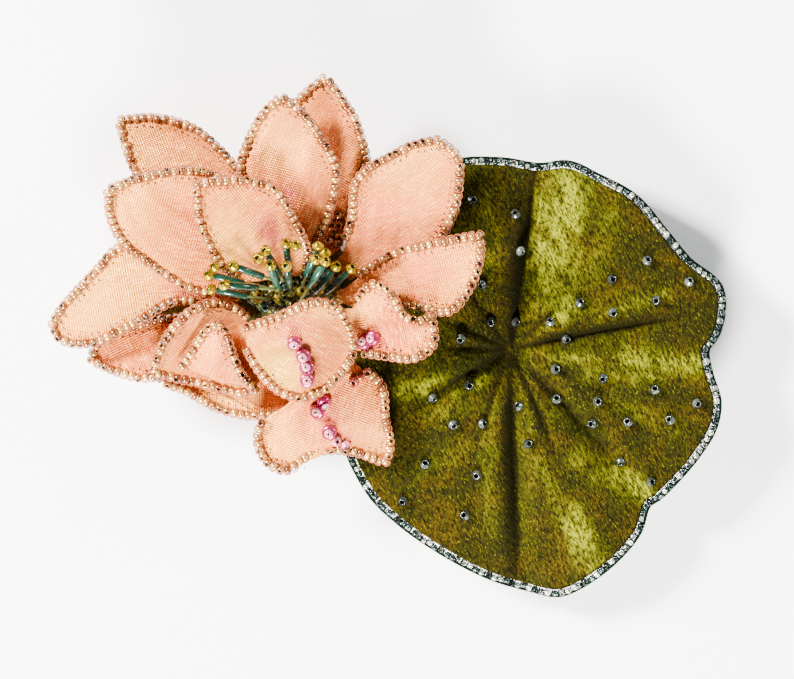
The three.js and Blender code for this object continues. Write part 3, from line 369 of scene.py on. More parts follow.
# The stage, in metres. Its lamps aim at the clip: name, place, size, power and colour.
FLOOR_REACH = 2
FLOWER_HEIGHT = 14 * MM  # the level that the camera's distance is measured from
SKY_STRENGTH = 0.3
LAMPS = (
    ("key", (-0.6, 0.3, 0.55), 0.18, 58, (1, 0.98, 0.95)),
    ("front", (-0.1, -0.7, 0.5), 0.22, 50, (1, 0.99, 0.97)),
    ("side", (0.7, 0.3, 0.4), 0.25, 6, (0.95, 0.97, 1)),
)


# ---------------------------------------------------------------- settings
def colour_property(name, description, default):
    return FloatVectorProperty(
        name=name, description=description, default=default, size=3, min=0, max=1, subtype="COLOR")


def length_property(name, description, default):
    return FloatProperty(name=name, description=description, default=default, min=0, unit="LENGTH")


class FlowerSettings(PropertyGroup):
    satin: colour_property("Satin", "Colour of the petals", (0.74, 0.2, 0.026))
    # The pale colour is a painted highlight on the satin.
    pale: colour_property("Pale satin", "Satin where the light has bleached it", (0.95, 0.43, 0.07))
    # The shade colour is painted shade, near the petals' bases and where petals overlap.
    shade: colour_property("Deep satin", "Satin near the petals' bases", (0.2, 0.035, 0.008))
    orange: colour_property("Orange dye", "Dye on the lower petals", (0.42, 0.075, 0.0))
    pink: colour_property("Pink dye", "Dye on the petals' middles", (0.58, 0.08, 0.028))
    rose: colour_property("Rose dye", "Dye of the lower right petal", (0.38, 0.03, 0.012))
    yellow: colour_property("Yellow dye", "Dye of the front petal", (0.62, 0.4, 0.02))
    magenta: colour_property("Magenta dye", "Brush strokes under the magenta beads", (0.42, 0.0, 0.055))
    bead: colour_property("Copper bead", "Lining of the edging beads", (0.2, 0.05, 0.007))
    bead_pale: colour_property("Champagne bead", "Light edging beads", (0.95, 0.5, 0.13))
    bead_diameter: length_property("Edging bead", "Diameter of an edging bead", 1.62 * MM)
    bead_pitch: length_property("Bead pitch", "Distance between edging beads", 1.28 * MM)
    satin_thickness: length_property("Satin", "Thickness of the doubled satin", 0.5 * MM)


class LeafSettings(PropertyGroup):
    velvet: colour_property("Velvet", "Colour of the velvet's ground", (0.017, 0.0155, 0.0009))
    # The velvet's shine colour is a painted highlight.
    nap: colour_property("Nap", "Colour of the velvet's painted highlight where its pile shines", (0.19, 0.2, 0.0025))
    lining: colour_property("Lining", "Colour of the leaf's lining", (0.03, 0.03, 0.006))
    silver: colour_property("Silver bead", "Light beads", (0.2, 0.24, 0.2))
    teal: colour_property("Teal bead", "Dark beads of the leaf's edging", (0.0015, 0.009, 0.006))
    bead_diameter: length_property("Bead", "Diameter of a bead on the leaf", 1.9 * MM)
    bead_pitch: length_property("Bead pitch", "Distance between edging beads", 1.2 * MM)
    velvet_thickness: length_property("Velvet", "Thickness of the velvet", 0.7 * MM)
    lining_thickness: length_property("Lining", "Thickness of the lining", 0.4 * MM)


class CentreSettings(PropertyGroup):
    bugle: colour_property("Bugle bead", "Colour of the stamens", (0.002, 0.022, 0.01))
    pollen: colour_property("Pollen bead", "Colour of the stamens' ends", (0.45, 0.3, 0.0))
    moss: colour_property("Moss bead", "Colour of the centre", (0.045, 0.05, 0.003))
    magenta: colour_property("Magenta bead", "Beads on the front petals", (0.5, 0.0, 0.11))
    blush: colour_property("Blush bead", "Small beads on the magenta ones", (0.85, 0.25, 0.3))
    bugle_diameter: length_property("Bugle", "Diameter of a bugle bead", 1.3 * MM)
    bugle_length: length_property("Bugle length", "Length of a bugle bead", 5.6 * MM)
    pollen_diameter: length_property("Pollen", "Diameter of a stamen's end bead", 2.15 * MM)


class ClipSettings(PropertyGroup):
    nickel: colour_property("Nickel", "Colour of the plated barrette", (0.42, 0.42, 0.41))
    steel: colour_property("Spring steel", "Colour of the springs", (0.28, 0.29, 0.31))
    felt: colour_property("Felt", "Colour of the backing felt", (0.03, 0.032, 0.006))
    edge_round: length_property("Edge", "Width of the metal's rounded edges", 0.16 * MM)


class StageSettings(PropertyGroup):
    floor: colour_property("Floor", "Colour of the floor", (0.95, 0.95, 0.95))
    distance: length_property("Distance", "Height of the camera above the clip", 1.0)
    view_width: length_property("View width", "Width of the view at the clip", 141.8 * MM)
    view_x: FloatProperty(name="Aim X", description="Middle of the view", default=1.96 * MM, unit="LENGTH")
    view_y: FloatProperty(name="Aim Y", description="Middle of the view", default=-0.27 * MM, unit="LENGTH")


# ---------------------------------------------------------------- lines and surfaces
def through(points, closed=False, per_span=12):
    """A smooth line through plan points: a centripetal Catmull-Rom spline, as many short steps."""
    points = [Vector(p) for p in points]
    count = len(points)
    if closed:
        ring = [points[-1]] + points + points[:2]
    else:
        ring = [points[0] * 2 - points[1]] + points + [points[-1] * 2 - points[-2]]
    line = []
    for i in range(count if closed else count - 1):
        p0, p1, p2, p3 = ring[i:i + 4]
        t01, t12, t23 = (max(1e-4, (b - a).length ** 0.5) for a, b in ((p0, p1), (p1, p2), (p2, p3)))
        m1 = (p2 - p1) + t12 * ((p1 - p0) / t01 - (p2 - p0) / (t01 + t12))
        m2 = (p2 - p1) + t12 * ((p3 - p2) / t23 - (p3 - p1) / (t12 + t23))
        for k in range(per_span):
            t = k / per_span
            a = 2 * (p1 - p2) + m1 + m2
            b = -3 * (p1 - p2) - 2 * m1 - m2
            line.append(a * t ** 3 + b * t ** 2 + m1 * t + p1)
    line.append(points[0].copy() if closed else points[-1].copy())
    return line


class Track:
    """A line that is read by its length."""

    def __init__(self, line):
        self.line = line
        self.at = [0.0]
        for a, b in zip(line, line[1:]):
            self.at.append(self.at[-1] + (b - a).length)
        self.length = self.at[-1]

    def point(self, share):
        goal = min(max(share, 0), 1) * self.length
        low, high = 0, len(self.at) - 1
        while high - low > 1:
            middle = (low + high) // 2
            if self.at[middle] <= goal:
                low = middle
            else:
                high = middle
        span = self.at[high] - self.at[low]
        return self.line[low].lerp(self.line[high], (goal - self.at[low]) / span if span else 0)


def smooth_step(value):
    value = min(max(value, 0), 1)
    return value * value * (3 - 2 * value)


class PetalForm:
    """The shape of one petal, in millimetres."""

    SATIN_INSET = 0.3  # from the edging's line to the satin's edge
    TURNING = 0.5
    TUCK = 0.16  # the share of its length by which a petal is tucked down at its base
    TUCK_NARROWS = 0.2
    TUCK_GATHERS = 0.22  # how far the tuck is drawn towards the flower's centre
    TUCK_HEIGHT = 0.3
    TUCK_PLEATS = 6  # half waves across the tuck
    TUCK_PLEAT_DEPTH = 0.25
    PUFF = 0.35
    PUFF_EASE = 1.6
    CREASE_DEPTH = 0.8
    CREASE_SCALE = 0.13
    PLEAT_DEPTH = 0.9
    PUCKER_DEPTH = 0.1  # where the edging's stitches draw the satin in
    PUCKER_PITCH = 2.4
    PUCKER_REACH = 0.9
    FLAT_COLUMNS = 8
    FLAT_ROWS = 20

    def __init__(self, name):
        spec = PETALS[name]
        self.name = name
        self.spec = spec
        tip = spec["left"][-1]
        self.left = Track(through(spec["left"]))
        self.right = Track(through(spec["right"] + [tip]))
        self.seed = Vector((list(PETALS).index(name) * 7.3, 1.7, 0.4))

    def height(self, across, along):
        spec = self.spec
        swell = math.sin(math.pi * min(max(along, 0), 1))
        side = 2 * across - 1
        spine = spec["base"] + (spec["tip"] - spec["base"]) * along + spec["arch"] * swell
        return FLOWER_LEVEL + spine + swell * (spec["cup"] * side ** 2 + spec["roll"] * side)

    def plan(self, across, along):
        start, end = self.left.point(along), self.right.point(along)
        width = max((end - start).length, 1e-3)
        inset = min(self.SATIN_INSET / width, 0.5)
        return start.lerp(end, inset + (1 - 2 * inset) * across), width

    def surface(self, across, along):
        """A point of the satin. Below 0, along runs down the tuck, which is sewn to the flower's base."""
        if along < 0:
            depth = -along / self.TUCK
            narrowed = 0.5 + (across - 0.5) * (1 - self.TUCK_NARROWS * depth)
            spot, _ = self.plan(narrowed, 0)
            spot = spot.lerp(Vector(FLOWER_CENTRE), self.TUCK_GATHERS * depth)
            top = self.height(across, 0)
            sewn = FLOWER_LEVEL + self.TUCK_HEIGHT
            pleat = self.TUCK_PLEAT_DEPTH * math.sin(across * math.pi * self.TUCK_PLEATS) * depth
            return Vector((spot.x, spot.y, top + (sewn - top) * smooth_step(depth) + pleat))
        spot, width = self.plan(across, along)
        side = abs(2 * across - 1)
        rim = (1 - side) * width / 2
        rounded = math.sin(math.pi * min(along * 1.05, 1)) ** 0.5
        puff = self.PUFF * (1 - math.exp(-rim / self.PUFF_EASE)) * rounded
        crease = noise.noise(Vector((spot.x * self.CREASE_SCALE, spot.y * self.CREASE_SCALE, 0)) + self.seed)
        run = along * self.left.length
        pleat = noise.noise(Vector((across * width * 0.34, run * 0.06, 3)) + self.seed * 2)
        pucker = self.PUCKER_DEPTH * math.sin(run * self.PUCKER_PITCH) * math.exp(-rim / self.PUCKER_REACH)
        relief = self.CREASE_DEPTH * crease + self.PLEAT_DEPTH * pleat * (1.1 - along)
        height = self.height(across, along) + puff * 0.6 + relief * min(rim / 2, 1) + pucker
        return Vector((spot.x, spot.y, height))

    def edge(self, place):
        on_left = place <= 0.5
        along = place * 2 if on_left else (1 - place) * 2
        spot = (self.left if on_left else self.right).point(along)
        return Vector((spot.x, spot.y, self.height(0 if on_left else 1, along)))

    def flat_size(self):
        """Width, length and area of the satin as it is cut, with its turnings and its tuck."""
        columns, rows = self.FLAT_COLUMNS, self.FLAT_ROWS
        whole = 1 + self.TUCK
        cells = [[self.surface(i / columns, -self.TUCK + whole * k / rows) for i in range(columns + 1)]
                 for k in range(rows + 1)]
        area = width = 0
        for near, far in zip(cells, cells[1:]):
            width = max(width, sum((b - a).length for a, b in zip(near, near[1:])))
            for i in range(columns):
                area += ((near[i + 1] - near[i]).cross(far[i] - near[i]).length
                         + (far[i + 1] - far[i]).cross(far[i + 1] - near[i + 1]).length) / 2
        middle = columns // 2
        length = sum((b[middle] - a[middle]).length for a, b in zip(cells, cells[1:]))
        border = 2 * self.TURNING
        return width + border, length + border, area + border * (width + length)


def leaf_radii():
    """The outline's distance from the gather, by direction."""
    centre = Vector(LEAF_GATHER)
    line = through(LEAF_OUTLINE, closed=True, per_span=8)
    table = sorted((math.atan2(p.y - centre.y, p.x - centre.x), (p - centre).length) for p in line[:-1])
    return [(table[-1][0] - 2 * math.pi, table[-1][1])] + table + [(table[0][0] + 2 * math.pi, table[0][1])]


LEAF_RADII = leaf_radii()


def leaf_radius(angle):
    angle = math.atan2(math.sin(angle), math.cos(angle))
    for (a0, r0), (a1, r1) in zip(LEAF_RADII, LEAF_RADII[1:]):
        if a0 <= angle <= a1:
            return r0 + (r1 - r0) * (angle - a0) / max(a1 - a0, 1e-6)
    return LEAF_RADII[0][1]


def off_line(radius, angle, direction):
    """How far a place is from the line that leaves the gather in a direction, given in degrees."""
    turn = angle - math.radians(direction)
    return abs(math.atan2(math.sin(turn), math.cos(turn))) * radius


def fold_depth(family, radius, angle):
    """How deep a place lies in a family of folds."""
    return sum(depth * math.exp(-((off_line(radius, angle, direction) / width) ** 2))
               for direction, depth, width in family)


def fade_out(radius, length):
    """1 near the gather, and 0 past a crease's length."""
    return 1 - smooth_step((radius - length * 0.6) / (length * 0.4))


def leaf_swell(radius, angle):
    """The velvet's rise between the two creases on either side of a place."""
    degrees = math.degrees(angle)
    for (before, _, _, reach), (after, _, _, other) in zip(CREASES, CREASES[1:] + CREASES[:1]):
        gap = (after - before) % 360
        share = ((degrees - before) % 360) / gap
        if share <= 1:
            length = reach + (other - reach) * share
            fade = 1 - smooth_step((radius - length * 0.35) / (length * 0.75))
            arc = math.radians(gap) * radius
            return min(arc * 0.2, FULLNESS) * math.sin(math.pi * share) ** 0.7 * fade
    return 0


def leaf_drape(x, y):
    """The leaf's height above its level: flat over the bar, drooping beyond it, folded at the gather."""
    beyond_x = max(0, abs(x) - BAR_HALF_LENGTH)
    beyond_y = max(0, abs(y) - BAR_HALF_WIDTH)
    droop = LEAF_DROOP * (beyond_x ** 2 + beyond_y ** 2)
    dx, dy = x - LEAF_GATHER[0], y - LEAF_GATHER[1]
    radius, angle = math.hypot(dx, dy), math.atan2(dy, dx)
    folds = fold_depth(LEAF_FOLDS, radius, angle)
    from_flower = math.hypot(x - FLOWER_CENTRE[0], y - FLOWER_CENTRE[1]) - FLOWER_REACH
    room = beyond_y if folds > 0 else max(0, from_flower)
    openness = min(1, radius / 10) * min(1, room / FOLD_EASE)
    pucker = GATHER_DEPTH * math.exp(-((radius / GATHER_RADIUS) ** 2))
    height = -droop - folds * openness - pucker
    for direction, depth, width, length in CREASES:
        profile = math.exp(-((off_line(radius, angle, direction) / width) ** 1.5))
        height -= depth * profile * fade_out(radius, length) * min(1, radius / 2)
    fine_folds = fold_depth(FINE_FOLDS, radius, angle)
    height -= fine_folds * math.exp(-radius / FINE_FOLD_REACH) * min(1, radius / 3)
    height += leaf_swell(radius, angle) * smooth_step((x - SWELL_START) / SWELL_EASE)
    return height + 0.3 * noise.noise(Vector((x * 0.11, y * 0.11, 0.5)))


# ---------------------------------------------------------------- meshes
def finished(name, bm, materials):
    """Turns a bmesh in millimetres into a piece that rides on the clip's base."""
    bmesh.ops.scale(bm, vec=(MM, MM, MM), verts=bm.verts)
    mesh = bpy.data.meshes.new(name)
    bm.to_mesh(mesh)
    bm.free()
    return placed(name, mesh, materials)


def placed(name, mesh, materials, body=BODY):
    piece = bpy.data.objects.new(name, mesh)
    bpy.context.scene.collection.objects.link(piece)
    for material in materials:
        mesh.materials.append(material)
    mesh.shade_smooth()
    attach(piece, body)
    return piece


def bead_profile(radius, length, hole, corner):
    """Half section of a seed bead, beside its hole."""
    half = length / 2
    return [
        (hole, -half + corner * 0.4), (hole + corner * 0.5, -half), (radius - corner, -half + corner * 0.1),
        (radius, -half + corner), (radius, half - corner), (radius - corner, half - corner * 0.1),
        (hole + corner * 0.5, half), (hole, half - corner * 0.4),
    ]


def bead_mesh(radius, length, hole, sides=10, corner=0.3):
    """A seed bead round Z: a small section spun about its hole."""
    bm = bmesh.new()
    verts = [bm.verts.new((r, 0, z)) for r, z in bead_profile(radius, length, hole, corner)]
    edges = [bm.edges.new((verts[i], verts[(i + 1) % len(verts)])) for i in range(len(verts))]
    bmesh.ops.spin(
        bm, geom=verts + edges, cent=(0, 0, 0), axis=UP, angle=2 * math.pi, steps=sides, use_merge=True)
    bmesh.ops.recalc_face_normals(bm, faces=bm.faces)
    mesh = bpy.data.meshes.new("bead")
    bm.to_mesh(mesh)
    bm.free()
    return mesh


def facing(spot, axis, turn=0.0):
    """A place for a bead: its hole runs along axis."""
    lean = axis.to_track_quat("Z", "Y").to_matrix().to_4x4()
    return Matrix.Translation(spot) @ lean @ Matrix.Rotation(turn, 4, "Z")


def outward(ahead, spot, middle):
    """The level direction across a line, on its side away from a plan point."""
    out = ahead.cross(UP).normalized()
    return -out if out.to_2d().dot(spot.to_2d() - middle) < 0 else out


def scatter(bm, template, places):
    """Adds a copy of the template at each place."""
    for place in places:
        copy = template.copy()
        copy.transform(place)
        bm.from_mesh(copy)
        bpy.data.meshes.remove(copy)


def tone_beads(mesh, first, template, tones, reach):
    """Colours each bead: its own tone, darker towards its hole, with painted shade in the hole, where the
    thread and the lining also show.
    """
    layer = mesh.color_attributes.get("tone") or mesh.color_attributes.new("tone", "FLOAT_COLOR", "POINT")
    verts = template.vertices
    for i, tone in enumerate(tones):
        for k, v in enumerate(verts):
            out = math.hypot(v.co.x, v.co.y) / reach
            # Painted shade towards the hole.
            level = 0.38 + 0.62 * smooth_step((out - 0.35) / 0.6)
            layer.data[first + i * len(verts) + k].color = (*(part * level for part in tone), 1)


def thicken(bm, thickness):
    """Gives a sheet its other side, below the first, and closes it round the edge."""
    bm.normal_update()
    made = bmesh.ops.extrude_face_region(bm, geom=bm.faces[:], use_keep_orig=True)["geom"]
    for v in (item for item in made if isinstance(item, bmesh.types.BMVert)):
        v.co -= v.normal * thickness
    bmesh.ops.recalc_face_normals(bm, faces=bm.faces)


def strand(lines, radius, sides=1):
    """Round threads along several lines, as one mesh in millimetres."""
    curve = bpy.data.curves.new("strand", "CURVE")
    curve.dimensions = "3D"
    curve.bevel_depth = radius
    curve.bevel_resolution = sides
    curve.use_fill_caps = True
    for line in lines:
        spline = curve.splines.new("POLY")
        spline.points.add(len(line) - 1)
        for point, spot in zip(spline.points, line):
            point.co = (*spot, 1)
    holder = bpy.data.objects.new("strand", curve)
    mesh = bpy.data.meshes.new_from_object(holder)
    bpy.data.objects.remove(holder)
    bpy.data.curves.remove(curve)
    return mesh


def add_with_material(bm, mesh, index):
    first = len(bm.faces)
    bm.from_mesh(mesh)
    bm.faces.ensure_lookup_table()
    for face in bm.faces[first:]:
        face.material_index = index
    bpy.data.meshes.remove(mesh)


def mixed(low, high, share):
    return tuple(a + (b - a) * share for a, b in zip(low, high))


# ---------------------------------------------------------------- materials
class Finish:
    """A node material round one Principled shader."""

    def __init__(self, name, **values):
        self.material = bpy.data.materials.new(name)
        self.material.use_nodes = True
        self.nodes = self.material.node_tree.nodes
        self.links = self.material.node_tree.links
        self.shader = self.nodes["Principled BSDF"]
        for socket, value in values.items():
            self.shader.inputs[socket.replace("_", " ")].default_value = value

    def add(self, kind, settings=None, **inputs):
        node = self.nodes.new(kind)
        for key, value in (settings or {}).items():
            setattr(node, key, value)
        for key, value in inputs.items():
            self.put(node.inputs[key.replace("_", " ")], value)
        return node

    def put(self, socket, value):
        if isinstance(value, bpy.types.NodeSocket):
            self.links.new(value, socket)
        else:
            socket.default_value = value

    def to(self, socket, value):
        self.put(self.shader.inputs[socket], value)

    def coordinates(self, scale=(1000, 1000, 1000), turn=(0, 0, 0), uv=None):
        """Object coordinates, or those of a named map, in millimetres."""
        if uv:
            source = self.add("ShaderNodeUVMap", {"uv_map": uv}).outputs[0]
        else:
            source = self.add("ShaderNodeTexCoord").outputs["Object"]
        mapping = self.add("ShaderNodeMapping", Vector=source, Scale=scale, Rotation=turn)
        return mapping.outputs[0]

    def noise(self, vector, scale, detail=3.0, roughness=0.55):
        node = self.add(
            "ShaderNodeTexNoise", Vector=vector, Scale=scale, Detail=detail, Roughness=roughness)
        return node.outputs["Fac"]

    def wave(self, vector, scale, direction="X", distortion=0.0, detail_scale=1.0):
        node = self.add(
            "ShaderNodeTexWave", {"wave_type": "BANDS", "bands_direction": direction},
            Vector=vector, Scale=scale, Distortion=distortion)
        node.inputs["Detail Scale"].default_value = detail_scale
        return node.outputs["Fac"]

    def math(self, operation, a, b):
        node = self.add("ShaderNodeMath", {"operation": operation})
        self.put(node.inputs[0], a)
        self.put(node.inputs[1], b)
        return node.outputs[0]

    def span(self, value, low, high, to_low=0.0, to_high=1.0):
        node = self.add(
            "ShaderNodeMapRange", Value=value, From_Min=low, From_Max=high, To_Min=to_low, To_Max=to_high)
        return node.outputs[0]

    def mix(self, share, a, b, blend="MIX"):
        node = self.add("ShaderNodeMix", {"data_type": "RGBA", "blend_type": blend})
        self.put(node.inputs["Factor"], share)
        self.put(node.inputs["A"], a if isinstance(a, bpy.types.NodeSocket) else (*a, 1))
        self.put(node.inputs["B"], b if isinstance(b, bpy.types.NodeSocket) else (*b, 1))
        return node.outputs["Result"]

    def bump(self, height, strength, distance):
        node = self.add("ShaderNodeBump", Height=height, Strength=strength, Distance=distance)
        self.to("Normal", node.outputs[0])

    def attribute(self, name):
        return self.add("ShaderNodeAttribute", {"attribute_name": name}).outputs["Color"]


def satin_finish():
    """Satin: twill ribs on the woven map with painted shade in their grooves, slubs with painted highlight,
    and a tinted shine.
    """
    finish = Finish(
        "Peach satin", Sheen_Weight=0.04, Sheen_Roughness=0.4, Sheen_Tint=(1, 0.6, 0.4, 1),
        Specular_Tint=(1, 0.55, 0.3, 1), Anisotropic=0.4, Metallic=0.3)
    weave = finish.coordinates((1, 1, 1), uv="weave")
    ribs = finish.wave(weave, 0.74, "X", 0.8, 0.4)
    threads = finish.wave(weave, 0.9, "Y", 0.5, 0.6)
    cloth = finish.math("ADD", finish.math("MULTIPLY", ribs, 0.7), finish.math("MULTIPLY", threads, 0.4))
    slub = finish.noise(finish.coordinates((0.3, 3.0, 1), uv="weave"), 1.4, 2)
    blotch = finish.noise(finish.coordinates(), 0.2, 3)
    tint = finish.attribute("tint")
    # Painted shade in the grooves between the twill's ribs.
    shaded = finish.mix(finish.span(cloth, 0.15, 0.85, 0.6, 0.0), tint, (0.3, 0.055, 0.01))
    # Painted highlight along the slubs.
    lit = finish.mix(finish.span(slub, 0.48, 0.72, 0.0, 0.55), shaded, (1.0, 0.48, 0.13))
    finish.to("Base Color", finish.mix(finish.span(blotch, 0.42, 0.72, 0.0, 0.3), lit, (0.62, 0.11, 0.03)))
    finish.to("Roughness", finish.span(slub, 0.3, 0.75, 0.42, 0.28))
    relief = finish.math("ADD", cloth, finish.math("MULTIPLY", slub, 1.2))
    finish.bump(relief, 0.75, 0.00016)
    return finish.material


def bead_finish(name, roughness=0.16, metallic=0.7, coat=0.6, rim=0.75):
    """Lined glass beads: each has its own tone, from its attribute, and painted shade darkens its sides as
    they turn from the view.
    """
    finish = Finish(name, Metallic=metallic, Coat_Weight=coat, Coat_Roughness=0.04, IOR=1.52)
    tone = finish.attribute("tone")
    streak = finish.noise(finish.coordinates(), 2.6, 2)
    facing = finish.add("ShaderNodeLayerWeight", Blend=0.4).outputs["Facing"]
    cut = finish.mix(finish.span(streak, 0.4, 0.7, 0.0, 0.6), tone, (0.45, 0.4, 0.35), "MULTIPLY")
    # Painted shade on the sides that turn away from the view, as much as rim says.
    sides = finish.span(facing, 0.2, 0.75, 0.0, rim)
    finish.to("Base Color", finish.mix(sides, cut, (0.12, 0.1, 0.09), "MULTIPLY"))
    finish.to("Roughness", finish.span(streak, 0.3, 0.7, roughness, roughness + 0.16))
    finish.bump(streak, 0.12, 0.0001)
    return finish.material


def thread_finish(name, colour, sheen=0.05):
    finish = Finish(name, Sheen_Weight=sheen, Specular_IOR_Level=4 * sheen)
    spot = finish.coordinates()
    ply = finish.wave(spot, 2.2, "DIAGONAL", 1.5)
    fuzz = finish.noise(spot, 6, 3)
    between = mixed(colour, (0, 0, 0), 0.6)
    finish.to("Base Color", finish.mix(finish.span(ply, 0, 1, 0, 0.6), colour, between))
    finish.to("Roughness", finish.span(fuzz, 0.3, 0.7, 0.55, 0.8))
    finish.bump(ply, 0.4, 0.00008)
    return finish.material


def velvet_finish(settings):
    """Velvet: its attribute holds painted highlight where the pile lies over and shines, and painted shade in
    the folds.
    """
    finish = Finish(
        "Olive velvet", Sheen_Weight=0.04, Sheen_Roughness=0.3, Sheen_Tint=(0.5, 0.55, 0.03, 1),
        Specular_IOR_Level=0.03)
    pile = finish.coordinates((1, 1, 1), uv="pile")
    crossed = finish.coordinates((1, 1, 1), (0, 0, 0.7), uv="pile")
    strokes = finish.noise(pile, 2.3, 2, 0.8)
    fine = finish.noise(crossed, 3.4, 2, 0.8)
    specks = finish.noise(finish.coordinates(), 3.6, 1, 0.5)
    locks = finish.noise(pile, 0.55, 3, 0.7)
    patches = finish.noise(finish.coordinates(), 0.16, 4, 0.6)
    nap = finish.add("ShaderNodeSeparateColor", Color=finish.attribute("nap"))
    shine, valley_shade = nap.outputs[0], nap.outputs[1]
    comb = finish.span(strokes, 0.4, 0.58, 0.0, 1.0)
    patchy = finish.span(patches, 0.45, 0.62, 0, 0.85)
    ground = finish.mix(patchy, tuple(settings.velvet), (0.052, 0.03, 0.001))
    shadowed = finish.mix(comb, (0.0045, 0.004, 0.0004), ground)
    # Painted glints: bright flecks in the pile.
    flecks = finish.math(
        "MULTIPLY", finish.span(fine, 0.56, 0.66), finish.span(specks, 0.5, 0.62, 0.1, 0.75))
    # Painted highlight where the pile shines, broken up by the locks and strokes.
    lit = finish.math("MULTIPLY", shine, finish.span(locks, 0.38, 0.6, 0.2, 1.5))
    combed = finish.math("MULTIPLY", lit, finish.span(strokes, 0.4, 0.6, 0.08, 1.5))
    glints = finish.math("MINIMUM", finish.math("ADD", combed, flecks), 1.0)
    bright = finish.mix(glints, shadowed, tuple(settings.nap))
    # Painted shade in the valleys between the folds.
    finish.to("Base Color", finish.mix(valley_shade, bright, (0.004, 0.0033, 0.0004)))
    finish.to("Roughness", finish.span(fine, 0.2, 0.8, 0.95, 0.6))
    finish.bump(finish.math("ADD", strokes, fine), 0.9, 0.0007)
    return finish.material


def cloth_finish(name, colour, rib):
    """Plain woven cloth."""
    finish = Finish(name, Sheen_Weight=0.2)
    spot = finish.coordinates()
    warp = finish.wave(spot, rib, "X", 0.8, 0.5)
    weft = finish.wave(spot, rib, "Y", 0.8, 0.5)
    cloth = finish.math("MULTIPLY", warp, weft)
    wear = finish.noise(spot, 0.3, 4)
    light = mixed(colour, (0.6, 0.6, 0.45), 0.35)
    dyed = finish.mix(finish.span(cloth, 0, 1, 0, 0.6), colour, light)
    worn = mixed(colour, (0, 0, 0), 0.5)
    finish.to("Base Color", finish.mix(finish.span(wear, 0.45, 0.75, 0, 0.4), dyed, worn))
    finish.to("Roughness", finish.span(wear, 0.3, 0.7, 0.75, 0.95))
    finish.bump(cloth, 0.5, 0.0002)
    return finish.material


def felt_finish(colour):
    finish = Finish(
        "Olive felt", Sheen_Weight=0.08, Sheen_Roughness=0.6, Sheen_Tint=(0.6, 0.6, 0.2, 1),
        Specular_IOR_Level=0.15)
    spot = finish.coordinates()
    fibres = finish.noise(finish.coordinates((1000, 320, 700), (0.3, 0.2, 0.6)), 2.4, 5, 0.7)
    matted = finish.noise(spot, 0.7, 4)
    light = mixed(colour, (0.3, 0.3, 0.08), 0.2)
    finish.to("Base Color", finish.mix(finish.span(fibres, 0.3, 0.7), colour, light))
    finish.to("Roughness", finish.span(matted, 0.3, 0.7, 0.85, 1.0))
    finish.bump(finish.math("ADD", fibres, matted), 0.8, 0.0004)
    return finish.material


def metal_finish(name, colour, roughness):
    """Plated or sprung steel with rolling lines along X, fine scratches and dulled patches."""
    finish = Finish(name, Metallic=1.0)
    lines = finish.noise(finish.coordinates((60, 2400, 2400)), 1.2, 4, 0.6)
    scratches = finish.noise(finish.coordinates((300, 1800, 900), (0.1, 0.2, 0.7)), 1.5, 2)
    dull = finish.noise(finish.coordinates(), 0.18, 4)
    worn = mixed(colour, (0.35, 0.3, 0.24), 0.45)
    finish.to("Base Color", finish.mix(finish.span(dull, 0.5, 0.75, 0, 0.6), colour, worn))
    ground = finish.span(lines, 0.3, 0.7, roughness, roughness + 0.16)
    finish.to("Roughness", finish.math("ADD", ground, finish.span(dull, 0.45, 0.75, 0, 0.15)))
    finish.bump(finish.math("ADD", lines, finish.math("MULTIPLY", scratches, 0.6)), 0.15, 0.0001)
    return finish.material


def floor_finish(colour):
    finish = Finish("Pale floor")
    grain = finish.noise(finish.coordinates(), 0.4, 3)
    cool = mixed(colour, (0.8, 0.8, 0.82), 0.3)
    finish.to("Base Color", finish.mix(finish.span(grain, 0.3, 0.7, 0, 0.3), colour, cool))
    finish.to("Roughness", finish.span(grain, 0.3, 0.7, 0.7, 0.8))
    return finish.material


# ---------------------------------------------------------------- pieces
def satin_petal(name, settings, material):
    """One petal: a grid laid over the petal's form, thickened and coloured with dye, painted shade and
    painted highlights.
    """
    form = PetalForm(name)
    bm = bmesh.new()
    bmesh.ops.create_grid(bm, x_segments=26, y_segments=44, size=0.5)
    tuck = PetalForm.TUCK
    for v in bm.verts:
        v.co = form.surface(v.co.x + 0.5, (v.co.y + 0.5) * (0.997 + tuck) - tuck)
    bmesh.ops.remove_doubles(bm, verts=bm.verts, dist=0.04)
    bmesh.ops.recalc_face_normals(bm, faces=bm.faces)
    if sum(face.normal.z * face.calc_area() for face in bm.faces) < 0:
        bmesh.ops.reverse_faces(bm, faces=bm.faces)
    thickness = settings.satin_thickness / MM
    bmesh.ops.translate(bm, vec=(0, 0, thickness / 2), verts=bm.verts)
    thicken(bm, thickness)
    lay_weave(bm, math.radians(form.spec["grain"]))
    tints = [satin_tint(name, form, v.co, settings) for v in bm.verts]
    piece = finished(f"satin_{name}", bm, [material])
    write_colours(piece.data, "tint", tints)
    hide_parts(name)
    width, length, area = form.flat_size()


def lay_weave(bm, grain):
    """A map in millimetres, turned to the cloth's grain."""
    layer = bm.loops.layers.uv.new("weave")
    across, along = math.cos(grain), math.sin(grain)
    for face in bm.faces:
        for loop in face.loops:
            x, y, z = loop.vert.co
            loop[layer].uv = (x * across + y * along, -x * along + y * across + 0.4 * z)


